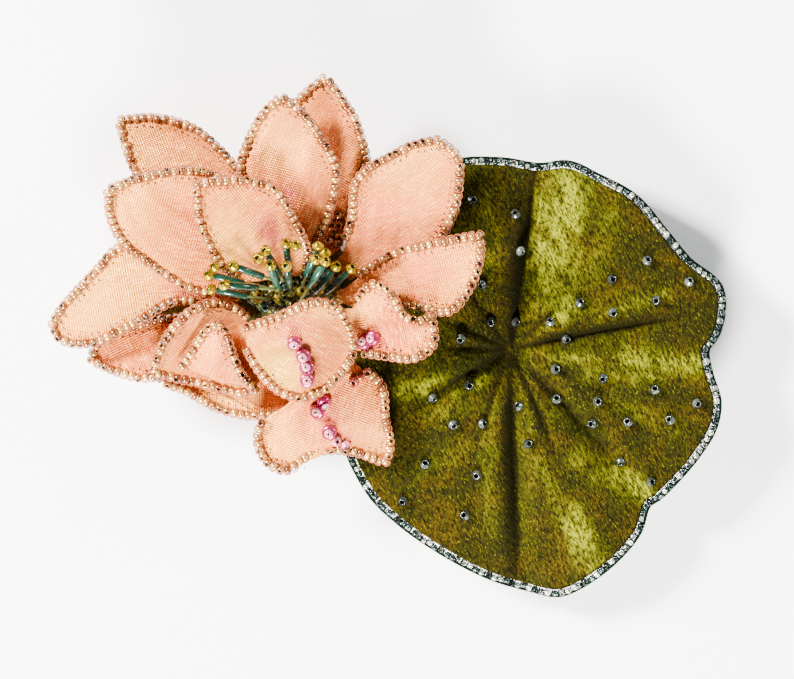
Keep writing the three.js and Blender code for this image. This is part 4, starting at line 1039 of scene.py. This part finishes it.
def satin_tint(name, form, spot, settings):
    colour = Vector(settings.satin)
    away = (Vector((spot.x, spot.y)) - Vector(FLOWER_CENTRE)).length
    # Painted shade near the flower's centre, over the petals' bases.
    colour = colour.lerp(Vector(settings.shade), 0.75 * math.exp(-((away / 13) ** 2)))
    wander = 0.5 + 0.5 * noise.noise(Vector((spot.x * 0.2, spot.y * 0.2, 5)) + form.seed)
    warm = noise.noise(Vector((spot.x * 0.13, spot.y * 0.13, 9)) + form.seed)
    # Random patches of painted highlight, then random patches of orange dye.
    colour = colour.lerp(Vector(settings.pale), min(max(0.05 + 1.2 * warm, 0), 0.6))
    colour = colour.lerp(Vector(settings.orange), min(max(-1.1 * warm - 0.04, 0), 0.5))
    # The listed spots: dye, painted shade and painted highlight.
    for petal, centre, radius, dye, strength in DYE_AND_PAINTED_LIGHT:
        if petal == name:
            gap = (Vector((spot.x, spot.y)) - Vector(centre)).length / radius
            share = strength * math.exp(-gap * gap * 0.9) * (0.75 + 0.6 * wander)
            colour = colour.lerp(Vector(getattr(settings, dye)), min(share, 1))
    return colour


def write_colours(mesh, name, colours):
    layer = mesh.color_attributes.new(name, "FLOAT_COLOR", "POINT")
    values = []
    for colour in colours:
        values.extend((*colour, 1))
    layer.data.foreach_set("color", values)


def petal_beads(name, settings, materials):
    """A petal's edging: beads strung along its edge, some of them turned on end, the thread that loops over
    them, and the stitches that hold them to the satin."""
    form = PetalForm(name)
    start, end = form.spec["edging"]
    line = [form.edge(start + (end - start) * i / 160) for i in range(161)]
    track = Track(line)
    pitch = settings.bead_pitch / MM
    count = max(4, round(track.length / pitch))
    middle = sum((form.plan(0.5, i / 8)[0] for i in range(9)), Vector((0, 0))) / 9
    radius = settings.bead_diameter / MM / 2
    rng = random.Random(name)
    lying, turned, thread, tones_lying, tones_turned, stitches = [], [], [], [], [], []
    for i in range(count):
        share = (i + 0.5) / count
        spot = track.point(share) + UP * form.spec.get("lift", EDGING_LIFT)
        ahead = (track.point(share + 0.01) - track.point(share - 0.01)).normalized()
        out = outward(ahead, spot, middle)
        jitter = Vector((rng.uniform(-0.1, 0.1), rng.uniform(-0.1, 0.1), rng.uniform(-0.08, 0.16)))
        share_pale = rng.random() ** 1.2
        tone = mixed(settings.bead, settings.bead_pale, share_pale)
        tilt = rng.uniform(-0.35, 0.35)
        if rng.random() < TURNED_SHARE:
            axis = (out * 0.55 + UP * 0.75 + ahead * tilt).normalized()
            turned.append(facing(spot + out * 0.12 + jitter, axis, rng.uniform(0, 6)))
            tones_turned.append(tone)
        else:
            axis = (ahead + out * tilt * 0.6 + UP * rng.uniform(-0.25, 0.25)).normalized()
            lying.append(facing(spot + jitter, axis, rng.uniform(0, 6)))
            tones_lying.append(tone)
        thread.extend(loop_over(spot, ahead, out, radius, pitch))
        if rng.random() < STITCHED_SHARE:
            prick = spot - out * (radius + rng.uniform(0.45, 0.7)) + UP * 0.28
            stitches.append([prick - ahead * 0.12, prick + UP * 0.12, prick + ahead * 0.1 + out * 0.2])
    long_bead = bead_mesh(radius, pitch * 0.8, 0.3, 10, 0.22)
    flat_bead = bead_mesh(radius * 0.92, pitch * 0.8, 0.34, 10, 0.25)
    bm = bmesh.new()
    scatter(bm, long_bead, lying)
    first_turned = len(bm.verts)
    scatter(bm, flat_bead, turned)
    add_with_material(bm, strand([thread], THREAD_RADIUS), 2)
    add_with_material(bm, strand(stitches, STITCH_RADIUS), 1)
    piece = finished(f"beads_{name}", bm, materials)
    tone_beads(piece.data, 0, long_bead, tones_lying, radius)
    tone_beads(piece.data, first_turned, flat_bead, tones_turned, radius)
    bpy.data.meshes.remove(long_bead)
    bpy.data.meshes.remove(flat_bead)
    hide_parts(f"{name}_edging")


def loop_over(spot, ahead, out, radius, pitch):
    """The edging thread at one bead: from the inner side over the gap before it, and round it outside."""
    gap = spot - ahead * pitch / 2
    return [
        gap - out * radius * 0.75 + UP * radius * 0.35,
        gap + UP * radius * 0.72,
        gap + out * radius * 0.85 + UP * 0.1,
        spot - ahead * pitch * 0.2 + out * radius * 1.1,
        spot + ahead * pitch * 0.2 + out * radius * 1.1,
        gap + ahead * pitch * 0.9 + out * radius * 0.85 + UP * 0.1,
    ]


def surface_of(name):
    """What a bead can be sewn on: a finished piece, as a tree in metres."""
    bm = bmesh.new()
    bm.from_mesh(bpy.data.objects[name].data)
    tree = BVHTree.FromBMesh(bm)
    bm.free()
    return tree


def on_surface(tree, x, y):
    """The highest point of a surface over a plan point, and its normal, in millimetres."""
    spot, normal, _, _ = tree.ray_cast(Vector((x * MM, y * MM, ABOVE_ALL)), DOWN)
    if spot is None:
        return None, None
    return spot / MM, normal


def sewn_beads(name, rows, material, bead, colour, lift=0.5, tilt=0.25, spread=0.12):
    """Beads sewn on petals. rows maps a petal to places, and bead is radius, length and hole radius."""
    rng = random.Random(name)
    radius, length, hole = bead
    template = bead_mesh(radius, length, hole, 12)
    places, tones = [], []
    for petal, spots in rows.items():
        tree = surface_of(f"satin_{petal}")
        for x, y in spots:
            spot, normal = on_surface(tree, x, y)
            if spot is None:
                raise RuntimeError(f"{name}: no satin at {x}, {y}")
            axis = (normal + Vector((rng.uniform(-tilt, tilt), rng.uniform(-tilt, tilt), 0))).normalized()
            places.append(facing(spot + normal * lift, axis, rng.uniform(0, 6)))
            tones.append(mixed(colour, (1, 1, 1), rng.uniform(0, spread)))
    bm = bmesh.new()
    scatter(bm, template, places)
    piece = finished(name, bm, [material])
    tone_beads(piece.data, 0, template, tones, radius)
    bpy.data.meshes.remove(template)


def leaf_sheet(level, thickness, shrink, resolution):
    """A disc laid over the leaf's form: a square grid drawn out to the outline, then thickened."""
    bm = bmesh.new()
    bmesh.ops.create_grid(bm, x_segments=resolution, y_segments=resolution, size=1)
    centre = Vector(LEAF_GATHER)
    for v in bm.verts:
        a, b = v.co.x, v.co.y
        if abs(a) < 1e-6 and abs(b) < 1e-6:
            ring, angle = 0.0, 0.0
        elif abs(a) >= abs(b):
            ring, angle = abs(a), math.pi / 4 * (b / a) + (math.pi if a < 0 else 0)
        else:
            ring, angle = abs(b), math.pi / 2 - math.pi / 4 * (a / b) + (math.pi if b < 0 else 0)
        reach = ring * (leaf_radius(angle) - shrink)
        x = centre.x + reach * math.cos(angle)
        y = centre.y + reach * math.sin(angle)
        v.co = (x, y, level + leaf_drape(x, y))
    bmesh.ops.recalc_face_normals(bm, faces=bm.faces)
    if sum(face.normal.z for face in bm.faces) < 0:
        bmesh.ops.reverse_faces(bm, faces=bm.faces)
    bmesh.ops.translate(bm, vec=(0, 0, thickness / 2), verts=bm.verts)
    thicken(bm, thickness)
    return bm


def painted_nap_highlight_at(x, y):
    """How much painted highlight the velvet's pile has at a place, 0 to 1."""
    best = 0.0
    spot = Vector((x, y))
    for start, end, width, strength in PAINTED_NAP_HIGHLIGHTS:
        a, b = Vector(start), Vector(end)
        along = (b - a).length_squared
        share = min(max((spot - a).dot(b - a) / along, 0), 1)
        away = (spot - a.lerp(b, share)).length / (width * 0.6)
        best = max(best, strength ** 1.7 * math.exp(-away * away) * (1 - 0.4 * abs(share - 0.5)))
    return best


def painted_valley_shade_at(x, y):
    """How much painted shade a place has between folds, 0 to 1."""
    dx, dy = x - LEAF_GATHER[0], y - LEAF_GATHER[1]
    radius, angle = math.hypot(dx, dy), math.atan2(dy, dx)
    dark = 0.0
    for direction, width, length, strength in PAINTED_VALLEY_SHADE:
        profile = math.exp(-((off_line(radius, angle, direction) / width) ** 2))
        dark = max(dark, strength * profile * fade_out(radius, length) * min(1, radius / 1.5))
    return dark


def leaf_levels():
    """The levels of the lining's and the velvet's middles where the leaf lies flat."""
    felt_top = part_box("felt_backing")[1][2] / MM
    lining = felt_top + CLEARANCE + GATHER_DEPTH + LINING_HALF
    return lining, lining + LINING_HALF + VELVET_HALF + CLEARANCE


def velvet_leaf(settings):
    _, level = leaf_levels()
    bm = leaf_sheet(level, settings.velvet_thickness / MM, VELVET_INSET, 150)
    layer = bm.loops.layers.uv.new("pile")
    for face in bm.faces:
        for loop in face.loops:
            x, y = loop.vert.co.x - LEAF_GATHER[0], loop.vert.co.y - LEAF_GATHER[1]
            loop[layer].uv = (x * 0.9 + y * 0.4, (y * 0.9 - x * 0.4) * 0.35)
    bm.normal_update()
    shine = []
    for v in bm.verts:
        # Painted highlight on slopes that face the light and painted shade on slopes turned away, on top of
        # the listed highlights and valleys.
        slope = v.normal.dot(NAP_LIGHT) - NAP_LIGHT.z
        nap = painted_nap_highlight_at(v.co.x, v.co.y) * (1 + 1.2 * slope) + max(0, slope) * 0.5
        dark = painted_valley_shade_at(v.co.x, v.co.y) + max(0, -slope) * 0.9
        shine.append((min(max(nap, 0), 1), min(dark, 1), 0))
    piece = finished("velvet_leaf", bm, [velvet_finish(settings)])
    write_colours(piece.data, "nap", shine)
    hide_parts("leaf_velvet")


def leaf_lining_sheet(settings):
    level, _ = leaf_levels()
    bm = leaf_sheet(level, settings.lining_thickness / MM, LINING_INSET, 90)
    cloth = cloth_finish("Leaf lining", tuple(settings.lining), 0.45)
    piece = finished("lining_leaf", bm, [cloth])
    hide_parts("leaf_lining")


def leaf_edging_beads(settings, materials):
    """Beads strung along the leaf's edge, with the dark thread that loops over them."""
    _, level = leaf_levels()
    outline = through(LEAF_OUTLINE, closed=True)
    line = [Vector((p.x, p.y, level + leaf_drape(p.x, p.y))) for p in outline]
    track = Track(line)
    pitch = settings.bead_pitch / MM
    radius = settings.bead_diameter / MM * 0.3
    count = round(track.length / pitch)
    rng = random.Random("leaf edging")
    centre = Vector(LEAF_GATHER)
    places, tones, thread = [], [], []
    for i in range(count):
        share = (i + 0.5) / count
        spot = track.point(share)
        ahead = (track.point(min(share + 0.004, 1)) - track.point(max(share - 0.004, 0))).normalized()
        out = outward(ahead, spot, centre)
        tilt = rng.uniform(-0.3, 0.3)
        axis = (ahead + out * tilt + UP * rng.uniform(-0.3, 0.3)).normalized()
        if i % 4 == 1:  # every fourth bead stands on end
            axis = (out * 0.6 + UP * 0.7).normalized()
        jitter = Vector((rng.uniform(-0.22, 0.22), rng.uniform(-0.22, 0.22), rng.uniform(-0.1, 0.2)))
        places.append(facing(spot + jitter, axis, rng.uniform(0, 6)))
        silver_share = 0.5 if spot.x > 40 or spot.y < -36 else 0.16
        if rng.random() < silver_share:
            tones.append(mixed(settings.silver, (0.75, 0.8, 0.62), rng.random() ** 2))
        else:
            tones.append(mixed(settings.teal, (0.03, 0.06, 0.05), rng.random()))
        thread.extend(loop_over(spot, ahead, out, radius * 1.1, pitch))
    template = bead_mesh(radius, pitch * 0.86, 0.3, 10)
    bm = bmesh.new()
    scatter(bm, template, places)
    outside = [track.point(i / 400) for i in range(401)]
    rail = []
    for spot, after in zip(outside, outside[1:]):
        out = outward(after - spot, spot, centre)
        rail.append(spot + out * radius * 1.05 - UP * 0.15)
    add_with_material(bm, strand([thread], 0.13), 1)
    add_with_material(bm, strand([rail], 0.26), 1)
    piece = finished("beads_leaf_edging", bm, materials)
    tone_beads(piece.data, 0, template, tones, radius)
    bpy.data.meshes.remove(template)
    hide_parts("leaf_edging")


def loose_leaf_beads(settings, material):
    rng = random.Random("loose beads")
    tree = surface_of("velvet_leaf")
    radius = settings.bead_diameter / MM / 2
    template = bead_mesh(radius, radius * 1.3, 0.42, 14, 0.36)
    places, tones = [], []
    for x, y in LOOSE_BEADS:
        spot, normal = on_surface(tree, x, y)
        if spot is None:
            raise RuntimeError(f"no velvet at {x}, {y}")
        lean = Vector((rng.uniform(-0.9, 0.9), rng.uniform(-0.9, 0.9), 0.4))
        axis = (normal + lean).normalized()
        places.append(facing(spot + normal * radius * 0.62, axis, rng.uniform(0, 6)))
        tones.append(mixed((0.05, 0.065, 0.055), settings.silver, rng.random()))
    bm = bmesh.new()
    scatter(bm, template, places)
    piece = finished("beads_leaf_scattered", bm, [material])
    tone_beads(piece.data, 0, template, tones, radius)
    bpy.data.meshes.remove(template)


def stamen_piece(index, settings, materials):
    """A bugle bead with a round bead on its end, held by a knot of thread."""
    foot, tip = STAMENS[index]
    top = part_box("flower_mound")[1][2] / MM
    start = Vector((foot[0], foot[1], top + foot[2]))
    reach = Vector(tip) - Vector(foot)
    direction = reach.normalized()
    length = reach.length
    bugle_radius = settings.bugle_diameter / MM / 2
    pollen_radius = settings.pollen_diameter / MM / 2
    bugle_length = min(settings.bugle_length / MM, length - 2 * pollen_radius - 0.1)
    bead_spot = start + direction * (length - pollen_radius)
    bugle_spot = bead_spot - direction * (pollen_radius + bugle_length / 2 - 0.1)
    rng = random.Random(index)
    sway = Vector((rng.uniform(-0.5, 0.5), rng.uniform(-0.5, 0.5), rng.uniform(0, 0.6)))
    lean = (direction + sway).normalized()
    bugle = bead_mesh(bugle_radius, bugle_length, 0.35, 12, 0.14)
    pollen = bead_mesh(pollen_radius, pollen_radius * 1.35, 0.4, 12, 0.45)
    bm = bmesh.new()
    scatter(bm, bugle, [facing(bugle_spot, direction)])
    first_pollen = len(bm.verts)
    faces_before = len(bm.faces)
    beads = [facing(bead_spot, lean)]
    if index in TWINS:
        beside = direction.cross(UP).normalized() * TWINS[index] * pollen_radius
        beads.append(facing(bead_spot + beside - direction * pollen_radius * 0.7 + UP * 0.3, -lean))
    scatter(bm, pollen, beads)
    bm.faces.ensure_lookup_table()
    for face in bm.faces[faces_before:]:
        face.material_index = 1
    root = start - direction * 1.5 - UP * 1.2
    add_with_material(bm, strand([[root, start + direction * 0.5, bead_spot]], 0.28, 2), 2)
    piece = finished(f"glass_stamen_{index + 1:02d}", bm, materials)
    bugle_tone = mixed(settings.bugle, (0.02, 0.12, 0.08), rng.random() * 0.5)
    tone_beads(piece.data, 0, bugle, [bugle_tone], bugle_radius)
    tones = [mixed(settings.pollen, (0.42, 0.34, 0.0), rng.random() * 0.5) for _ in beads]
    tone_beads(piece.data, first_pollen, pollen, tones, pollen_radius)
    bpy.data.meshes.remove(bugle)
    bpy.data.meshes.remove(pollen)
    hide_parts(f"stamen_{index + 1:02d}")


def moss_mound(settings, materials):
    """The flower's centre: a felt dome, covered with small beads that stand at all angles."""
    low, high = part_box("flower_mound")
    middle = (Vector(low) + Vector(high)) / 2 / MM
    half = (Vector(high) - Vector(low)) / 2 / MM
    rise = high[2] / MM - low[2] / MM
    bm = bmesh.new()
    bmesh.ops.create_uvsphere(bm, u_segments=28, v_segments=16, radius=1)
    bmesh.ops.bisect_plane(
        bm, geom=bm.verts[:] + bm.edges[:] + bm.faces[:], plane_co=(0, 0, 0), plane_no=DOWN,
        clear_outer=True)
    bmesh.ops.holes_fill(bm, edges=[e for e in bm.edges if e.is_boundary])
    bmesh.ops.scale(bm, vec=(half.x * 0.9, half.y * 0.9, rise * 0.9), verts=bm.verts)
    bmesh.ops.translate(bm, vec=(middle.x, middle.y, low[2] / MM), verts=bm.verts)
    for face in bm.faces:
        face.material_index = 1
    dome_verts = len(bm.verts)
    rng = random.Random("moss")
    template = bead_mesh(MOSS_RADIUS, 1.1, 0.28, 9)
    places, tones = [], []
    for i in range(MOSS_BEADS):
        lift = i / MOSS_BEADS
        turn = i * GOLDEN_TURN
        ring = math.sqrt(1 - lift * lift)
        normal = Vector((ring * math.cos(turn), ring * math.sin(turn), lift))
        spot = Vector((middle.x + half.x * 0.92 * normal.x, middle.y + half.y * 0.92 * normal.y,
                       low[2] / MM + rise * 0.93 * lift))
        axis = (normal + Vector((rng.uniform(-1, 1), rng.uniform(-1, 1), rng.uniform(-1, 1)))).normalized()
        places.append(facing(spot, axis, rng.uniform(0, 6)))
        pick = rng.random()
        if pick < GREEN_SHARE:
            tones.append((0.006, 0.06, 0.04))
        elif pick < GREEN_SHARE + GOLD_SHARE:
            tones.append((0.4, 0.33, 0.003))
        else:
            tones.append(mixed(settings.moss, (0.12, 0.13, 0.006), rng.random()))
    for (x, y), kind in MOUND_BEADS:
        across, over = (x - middle.x) / half.x, (y - middle.y) / half.y
        lift = math.sqrt(max(0.1, 1 - across * across - over * over))
        for drop in (0.5, -0.1):
            axis = Vector((rng.uniform(-0.5, 0.5), rng.uniform(-0.5, 0.5), 1)).normalized()
            large = Matrix.Diagonal((1.25, 1.25, 1.25, 1))
            places.append(facing(Vector((x, y, low[2] / MM + rise * lift + drop)), axis, 0) @ large)
            tones.append(JADE if kind == "jade" else tuple(getattr(settings, kind)))
    scatter(bm, template, places)
    piece = finished("moss_mound", bm, materials)
    layer = piece.data.color_attributes.new("tone", "FLOAT_COLOR", "POINT")
    for i in range(dome_verts):
        layer.data[i].color = (*settings.moss, 1)
    tone_beads(piece.data, dome_verts, template, tones, MOSS_RADIUS)
    bpy.data.meshes.remove(template)
    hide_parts("flower_mound")


def softened(node, name, material, width, body=BODY):
    """A CAD piece with its sharp edges rounded, as it is stamped or cut."""
    bm = bmesh.new()
    bm.from_mesh(bpy.data.objects[node].data)
    bmesh.ops.remove_doubles(bm, verts=bm.verts, dist=WELD_DISTANCE)
    bmesh.ops.dissolve_limit(bm, angle_limit=FLAT_ANGLE, verts=bm.verts, edges=bm.edges)
    sharp = [e for e in bm.edges if e.is_manifold and e.calc_face_angle(0) > EDGE_ANGLE]
    bmesh.ops.bevel(bm, geom=sharp, offset=width, offset_type="OFFSET", segments=3, affect="EDGES",
                    profile=0.5, material=-1, clamp_overlap=True)
    bmesh.ops.recalc_face_normals(bm, faces=bm.faces)
    mesh = bpy.data.meshes.new(name)
    bm.to_mesh(mesh)
    bm.free()
    piece = placed(name, mesh, [material], body)
    mesh.set_sharp_from_angle(angle=CREASE_ANGLE)
    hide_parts(node)


def felt_stitches(points, material):
    """Short stitches over the felt's edge: each is a small arc of thread round an edge point."""
    bite = FELT_STITCH_BITE
    lines = []
    for spot, out in points:
        lines.append([
            spot - out * bite + UP * 0.12, spot - out * bite * 0.4 + UP * 0.26, spot + out * 0.16 + UP * 0.1,
            spot + out * 0.2 - UP * 0.5, spot + out * 0.16 - UP * 1.05, spot - out * bite * 0.5 - UP * 1.22,
            spot - out * bite - UP * 1.08,
        ])
    bm = bmesh.new()
    add_with_material(bm, strand(lines, FELT_STITCH_RADIUS), 0)
    finished("felt_stitches", bm, [material])


def felt_pieces(settings):
    """The felt strip, the flower's disc and the stitches round the strip's edge."""
    felt = felt_finish(tuple(settings.felt))
    softened("felt_backing", "felt_strip", felt, FELT_ROUND)
    softened("flower_base", "flower_disc", felt, FELT_ROUND)
    low, high = (Vector(c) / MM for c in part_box("felt_backing"))
    straight = (high.x - low.x - (high.y - low.y)) / 2
    round_end = (high.y - low.y) / 2
    points = []
    for side in (-1, 1):
        for i in range(SIDE_STITCHES):
            x = -straight + 2 * straight * i / (SIDE_STITCHES - 1)
            points.append((Vector((x, side * round_end, high.z)), Vector((0, side, 0))))
        for i in range(1, END_STITCHES + 1):
            turn = math.pi * i / (END_STITCHES + 1) - math.pi / 2
            out = Vector((side * math.cos(turn), math.sin(turn), 0))
            points.append((Vector((side * straight, 0, high.z)) + out * round_end, out))
    thread = thread_finish("Olive thread", (0.04, 0.045, 0.01))
    felt_stitches(points, thread)


def sewing_threads(material):
    """Threads that hold the base to the felt, through the pairs of holes at its ends."""
    low, high = (Vector(c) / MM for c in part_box("barrette_base"))
    felt_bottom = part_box("felt_backing")[0][2] / MM
    plate_bottom = high.z - PLATE_THICKNESS
    lines = []
    for side in (-1, 1):
        outer = (low.x if side < 0 else high.x) - side * HOLE_INSET
        for k in range(THREADS):
            y = (k - (THREADS - 1) / 2) * THREAD_PITCH
            inner = outer - side * HOLE_PITCH
            lines.append([
                Vector((outer, y, felt_bottom + 0.3)), Vector((outer, y, plate_bottom - 0.05)),
                Vector((outer - side * 0.6, y * 1.3, plate_bottom - 0.3)),
                Vector((inner + side * 0.6, y * 1.3, plate_bottom - 0.32)),
                Vector((inner, y, plate_bottom - 0.05)), Vector((inner, y, felt_bottom + 0.3)),
            ])
    bm = bmesh.new()
    add_with_material(bm, strand(lines, SEWING_THREAD_RADIUS), 0)
    finished("sewing_threads", bm, [material])


# ---------------------------------------------------------------- operators
class LILY_OT_petals(Operator):
    """Sew the satin petals"""
    bl_idname = "lily.petals"
    bl_label = "Satin petals"

    def execute(self, context):
        settings = context.scene.lily_flower
        material = satin_finish()
        for name in PETALS:
            satin_petal(name, settings, material)
        return {"FINISHED"}


class LILY_OT_petal_edging(Operator):
    """Bead the petals' edges"""
    bl_idname = "lily.petal_edging"
    bl_label = "Petal edging"

    def execute(self, context):
        settings = context.scene.lily_flower
        materials = [
            bead_finish("Copper-lined beads"), thread_finish("Stitch thread", (0.035, 0.008, 0.003)),
            thread_finish("Blush thread", (0.42, 0.1, 0.028)),
        ]
        for name in PETALS:
            petal_beads(name, settings, materials)
        return {"FINISHED"}


class LILY_OT_centre(Operator):
    """Make the moss centre and the stamens"""
    bl_idname = "lily.centre"
    bl_label = "Flower centre"

    def execute(self, context):
        settings = context.scene.lily_centre
        moss = bead_finish("Moss beads", 0.24, 0.3, 0.3, 0.6)
        felt = felt_finish(tuple(settings.moss))
        moss_mound(settings, [moss, felt])
        glass = [
            bead_finish("Bugle glass", 0.12, 0.3, 0.25, 0.0),
            bead_finish("Pollen glass", 0.16, 0.85, 0.12, 0.15),
            thread_finish("Stamen thread", (0.1, 0.12, 0.02)),
        ]
        for index in range(len(STAMENS)):
            stamen_piece(index, settings, glass)
        return {"FINISHED"}


class LILY_OT_petal_beads(Operator):
    """Sew the magenta, pink, orange and copper beads on the petals"""
    bl_idname = "lily.petal_beads"
    bl_label = "Petal beads"

    def execute(self, context):
        settings = context.scene.lily_centre
        glass = bead_finish("Magenta glass", 0.14, 0.75, 0.15, 0.4)
        pearl = bead_finish("Blush glass", 0.14, 0.3, 0.4, 0.3)
        large, top, middle, small = (1.35, 1.5, 0.45), (0.78, 0.9, 0.18), (0.95, 1.1, 0.32), (0.85, 1.0, 0.3)
        sewn_beads("beads_magenta", MAGENTA_ROWS, glass, large, settings.magenta, 0.7, spread=0.05)
        sewn_beads("beads_blush", MAGENTA_ROWS, pearl, top, settings.blush, 1.75)
        sewn_beads("beads_pink", PINK_BEADS, pearl, middle, (0.75, 0.1, 0.2), tilt=0.8)
        copper = bead_finish("Copper-lined beads", 0.16, 0.7, 0.5)
        sewn_beads("beads_copper", COPPER_ROWS, copper, small, (0.6, 0.2, 0.03), tilt=0.9)
        sewn_beads("beads_orange", ORANGE_BEADS, glass, middle, (0.6, 0.08, 0.01), tilt=0.8)
        return {"FINISHED"}


class LILY_OT_leaf(Operator):
    """Gather the velvet leaf and its lining"""
    bl_idname = "lily.leaf"
    bl_label = "Velvet leaf"

    def execute(self, context):
        settings = context.scene.lily_leaf
        velvet_leaf(settings)
        leaf_lining_sheet(settings)
        return {"FINISHED"}


class LILY_OT_leaf_beads(Operator):
    """Bead the leaf's edge and face"""
    bl_idname = "lily.leaf_beads"
    bl_label = "Leaf beads"

    def execute(self, context):
        settings = context.scene.lily_leaf
        beads = bead_finish("Silver-lined beads", 0.12, 0.7, 0.6, 0.95)
        thread = thread_finish("Dark green thread", (0.0015, 0.008, 0.0035), 0.005)
        leaf_edging_beads(settings, [beads, thread])
        loose_leaf_beads(settings, beads)
        return {"FINISHED"}


class LILY_OT_backing(Operator):
    """Cut and stitch the felt backing"""
    bl_idname = "lily.backing"
    bl_label = "Felt backing"

    def execute(self, context):
        felt_pieces(context.scene.lily_clip)
        return {"FINISHED"}


class LILY_OT_barrette(Operator):
    """Finish the barrette's metal pieces"""
    bl_idname = "lily.barrette"
    bl_label = "Barrette"

    def execute(self, context):
        settings = context.scene.lily_clip
        nickel = metal_finish("Nickel plate", tuple(settings.nickel), 0.16)
        steel = metal_finish("Spring steel", tuple(settings.steel), 0.24)
        edge = settings.edge_round
        for node, slot in METAL.items():
            material = nickel if slot == "nickel_plate" else steel
            body = node if node in frame["bodies"] else BODY
            softened(node, f"metal_{node}", material, edge, body)
        sewing_threads(thread_finish("Sewing thread", (0.06, 0.07, 0.03)))
        return {"FINISHED"}


class LILY_OT_stage(Operator):
    """Set the floor, the lights and the camera"""
    bl_idname = "lily.stage"
    bl_label = "Stage"

    def execute(self, context):
        settings = context.scene.lily_stage
        bm = bmesh.new()
        bmesh.ops.create_grid(bm, x_segments=1, y_segments=1, size=FLOOR_REACH)
        floor_mesh = bpy.data.meshes.new("floor")
        bm.to_mesh(floor_mesh)
        bm.free()
        floor = bpy.data.objects.new("floor", floor_mesh)
        floor_mesh.materials.append(floor_finish(tuple(settings.floor)))
        context.scene.collection.objects.link(floor)
        for name, place, size, power, colour in LAMPS:
            light = bpy.data.lights.new(name, "AREA")
            light.size = size
            light.energy = power
            light.color = colour
            lamp = bpy.data.objects.new(name, light)
            lamp.location = place
            lamp.rotation_euler = (-Vector(place)).to_track_quat("-Z", "Y").to_euler()
            context.scene.collection.objects.link(lamp)
        world = bpy.data.worlds.new("studio")
        world.use_nodes = True
        background = world.node_tree.nodes["Background"]
        background.inputs["Color"].default_value = (0.95, 0.97, 1, 1)
        background.inputs["Strength"].default_value = SKY_STRENGTH
        context.scene.world = world
        camera_data = bpy.data.cameras.new("camera")
        camera_data.lens = camera_data.sensor_width * settings.distance / settings.view_width
        camera_data.clip_start = 0.01
        camera = bpy.data.objects.new("camera", camera_data)
        camera.location = (settings.view_x, settings.view_y, settings.distance + FLOWER_HEIGHT)
        context.scene.collection.objects.link(camera)
        context.scene.camera = camera
        return {"FINISHED"}


OPERATORS = (
    LILY_OT_petals, LILY_OT_petal_edging, LILY_OT_centre, LILY_OT_petal_beads, LILY_OT_leaf,
    LILY_OT_leaf_beads, LILY_OT_backing, LILY_OT_barrette, LILY_OT_stage,
)


class LILY_PT_panel(Panel):
    """The pieces and their settings"""
    bl_idname = "LILY_PT_panel"
    bl_label = "Water lily clip"
    bl_space_type = "VIEW_3D"
    bl_region_type = "UI"
    bl_category = "Lily clip"

    def draw(self, context):
        for operator in OPERATORS:
            self.layout.operator(operator.bl_idname)
        for name in SETTINGS:
            group = getattr(context.scene, name)
            for key in group.bl_rna.properties.keys():
                if key not in ("rna_type", "name"):
                    self.layout.prop(group, key)


SETTINGS = {
    "lily_flower": FlowerSettings, "lily_leaf": LeafSettings, "lily_centre": CentreSettings,
    "lily_clip": ClipSettings, "lily_stage": StageSettings,
}
CLASSES = (*SETTINGS.values(), *OPERATORS, LILY_PT_panel)


def register():
    for cls in CLASSES:
        bpy.utils.register_class(cls)
    for name, cls in SETTINGS.items():
        setattr(bpy.types.Scene, name, PointerProperty(type=cls))


def unregister():
    for name in SETTINGS:
        delattr(bpy.types.Scene, name)
    for cls in reversed(CLASSES):
        bpy.utils.unregister_class(cls)


def main():
    register()
    for operator in OPERATORS:
        group, name = operator.bl_idname.split(".")
        getattr(getattr(bpy.ops, group), name)()


if __name__ == "__main__":
    main()
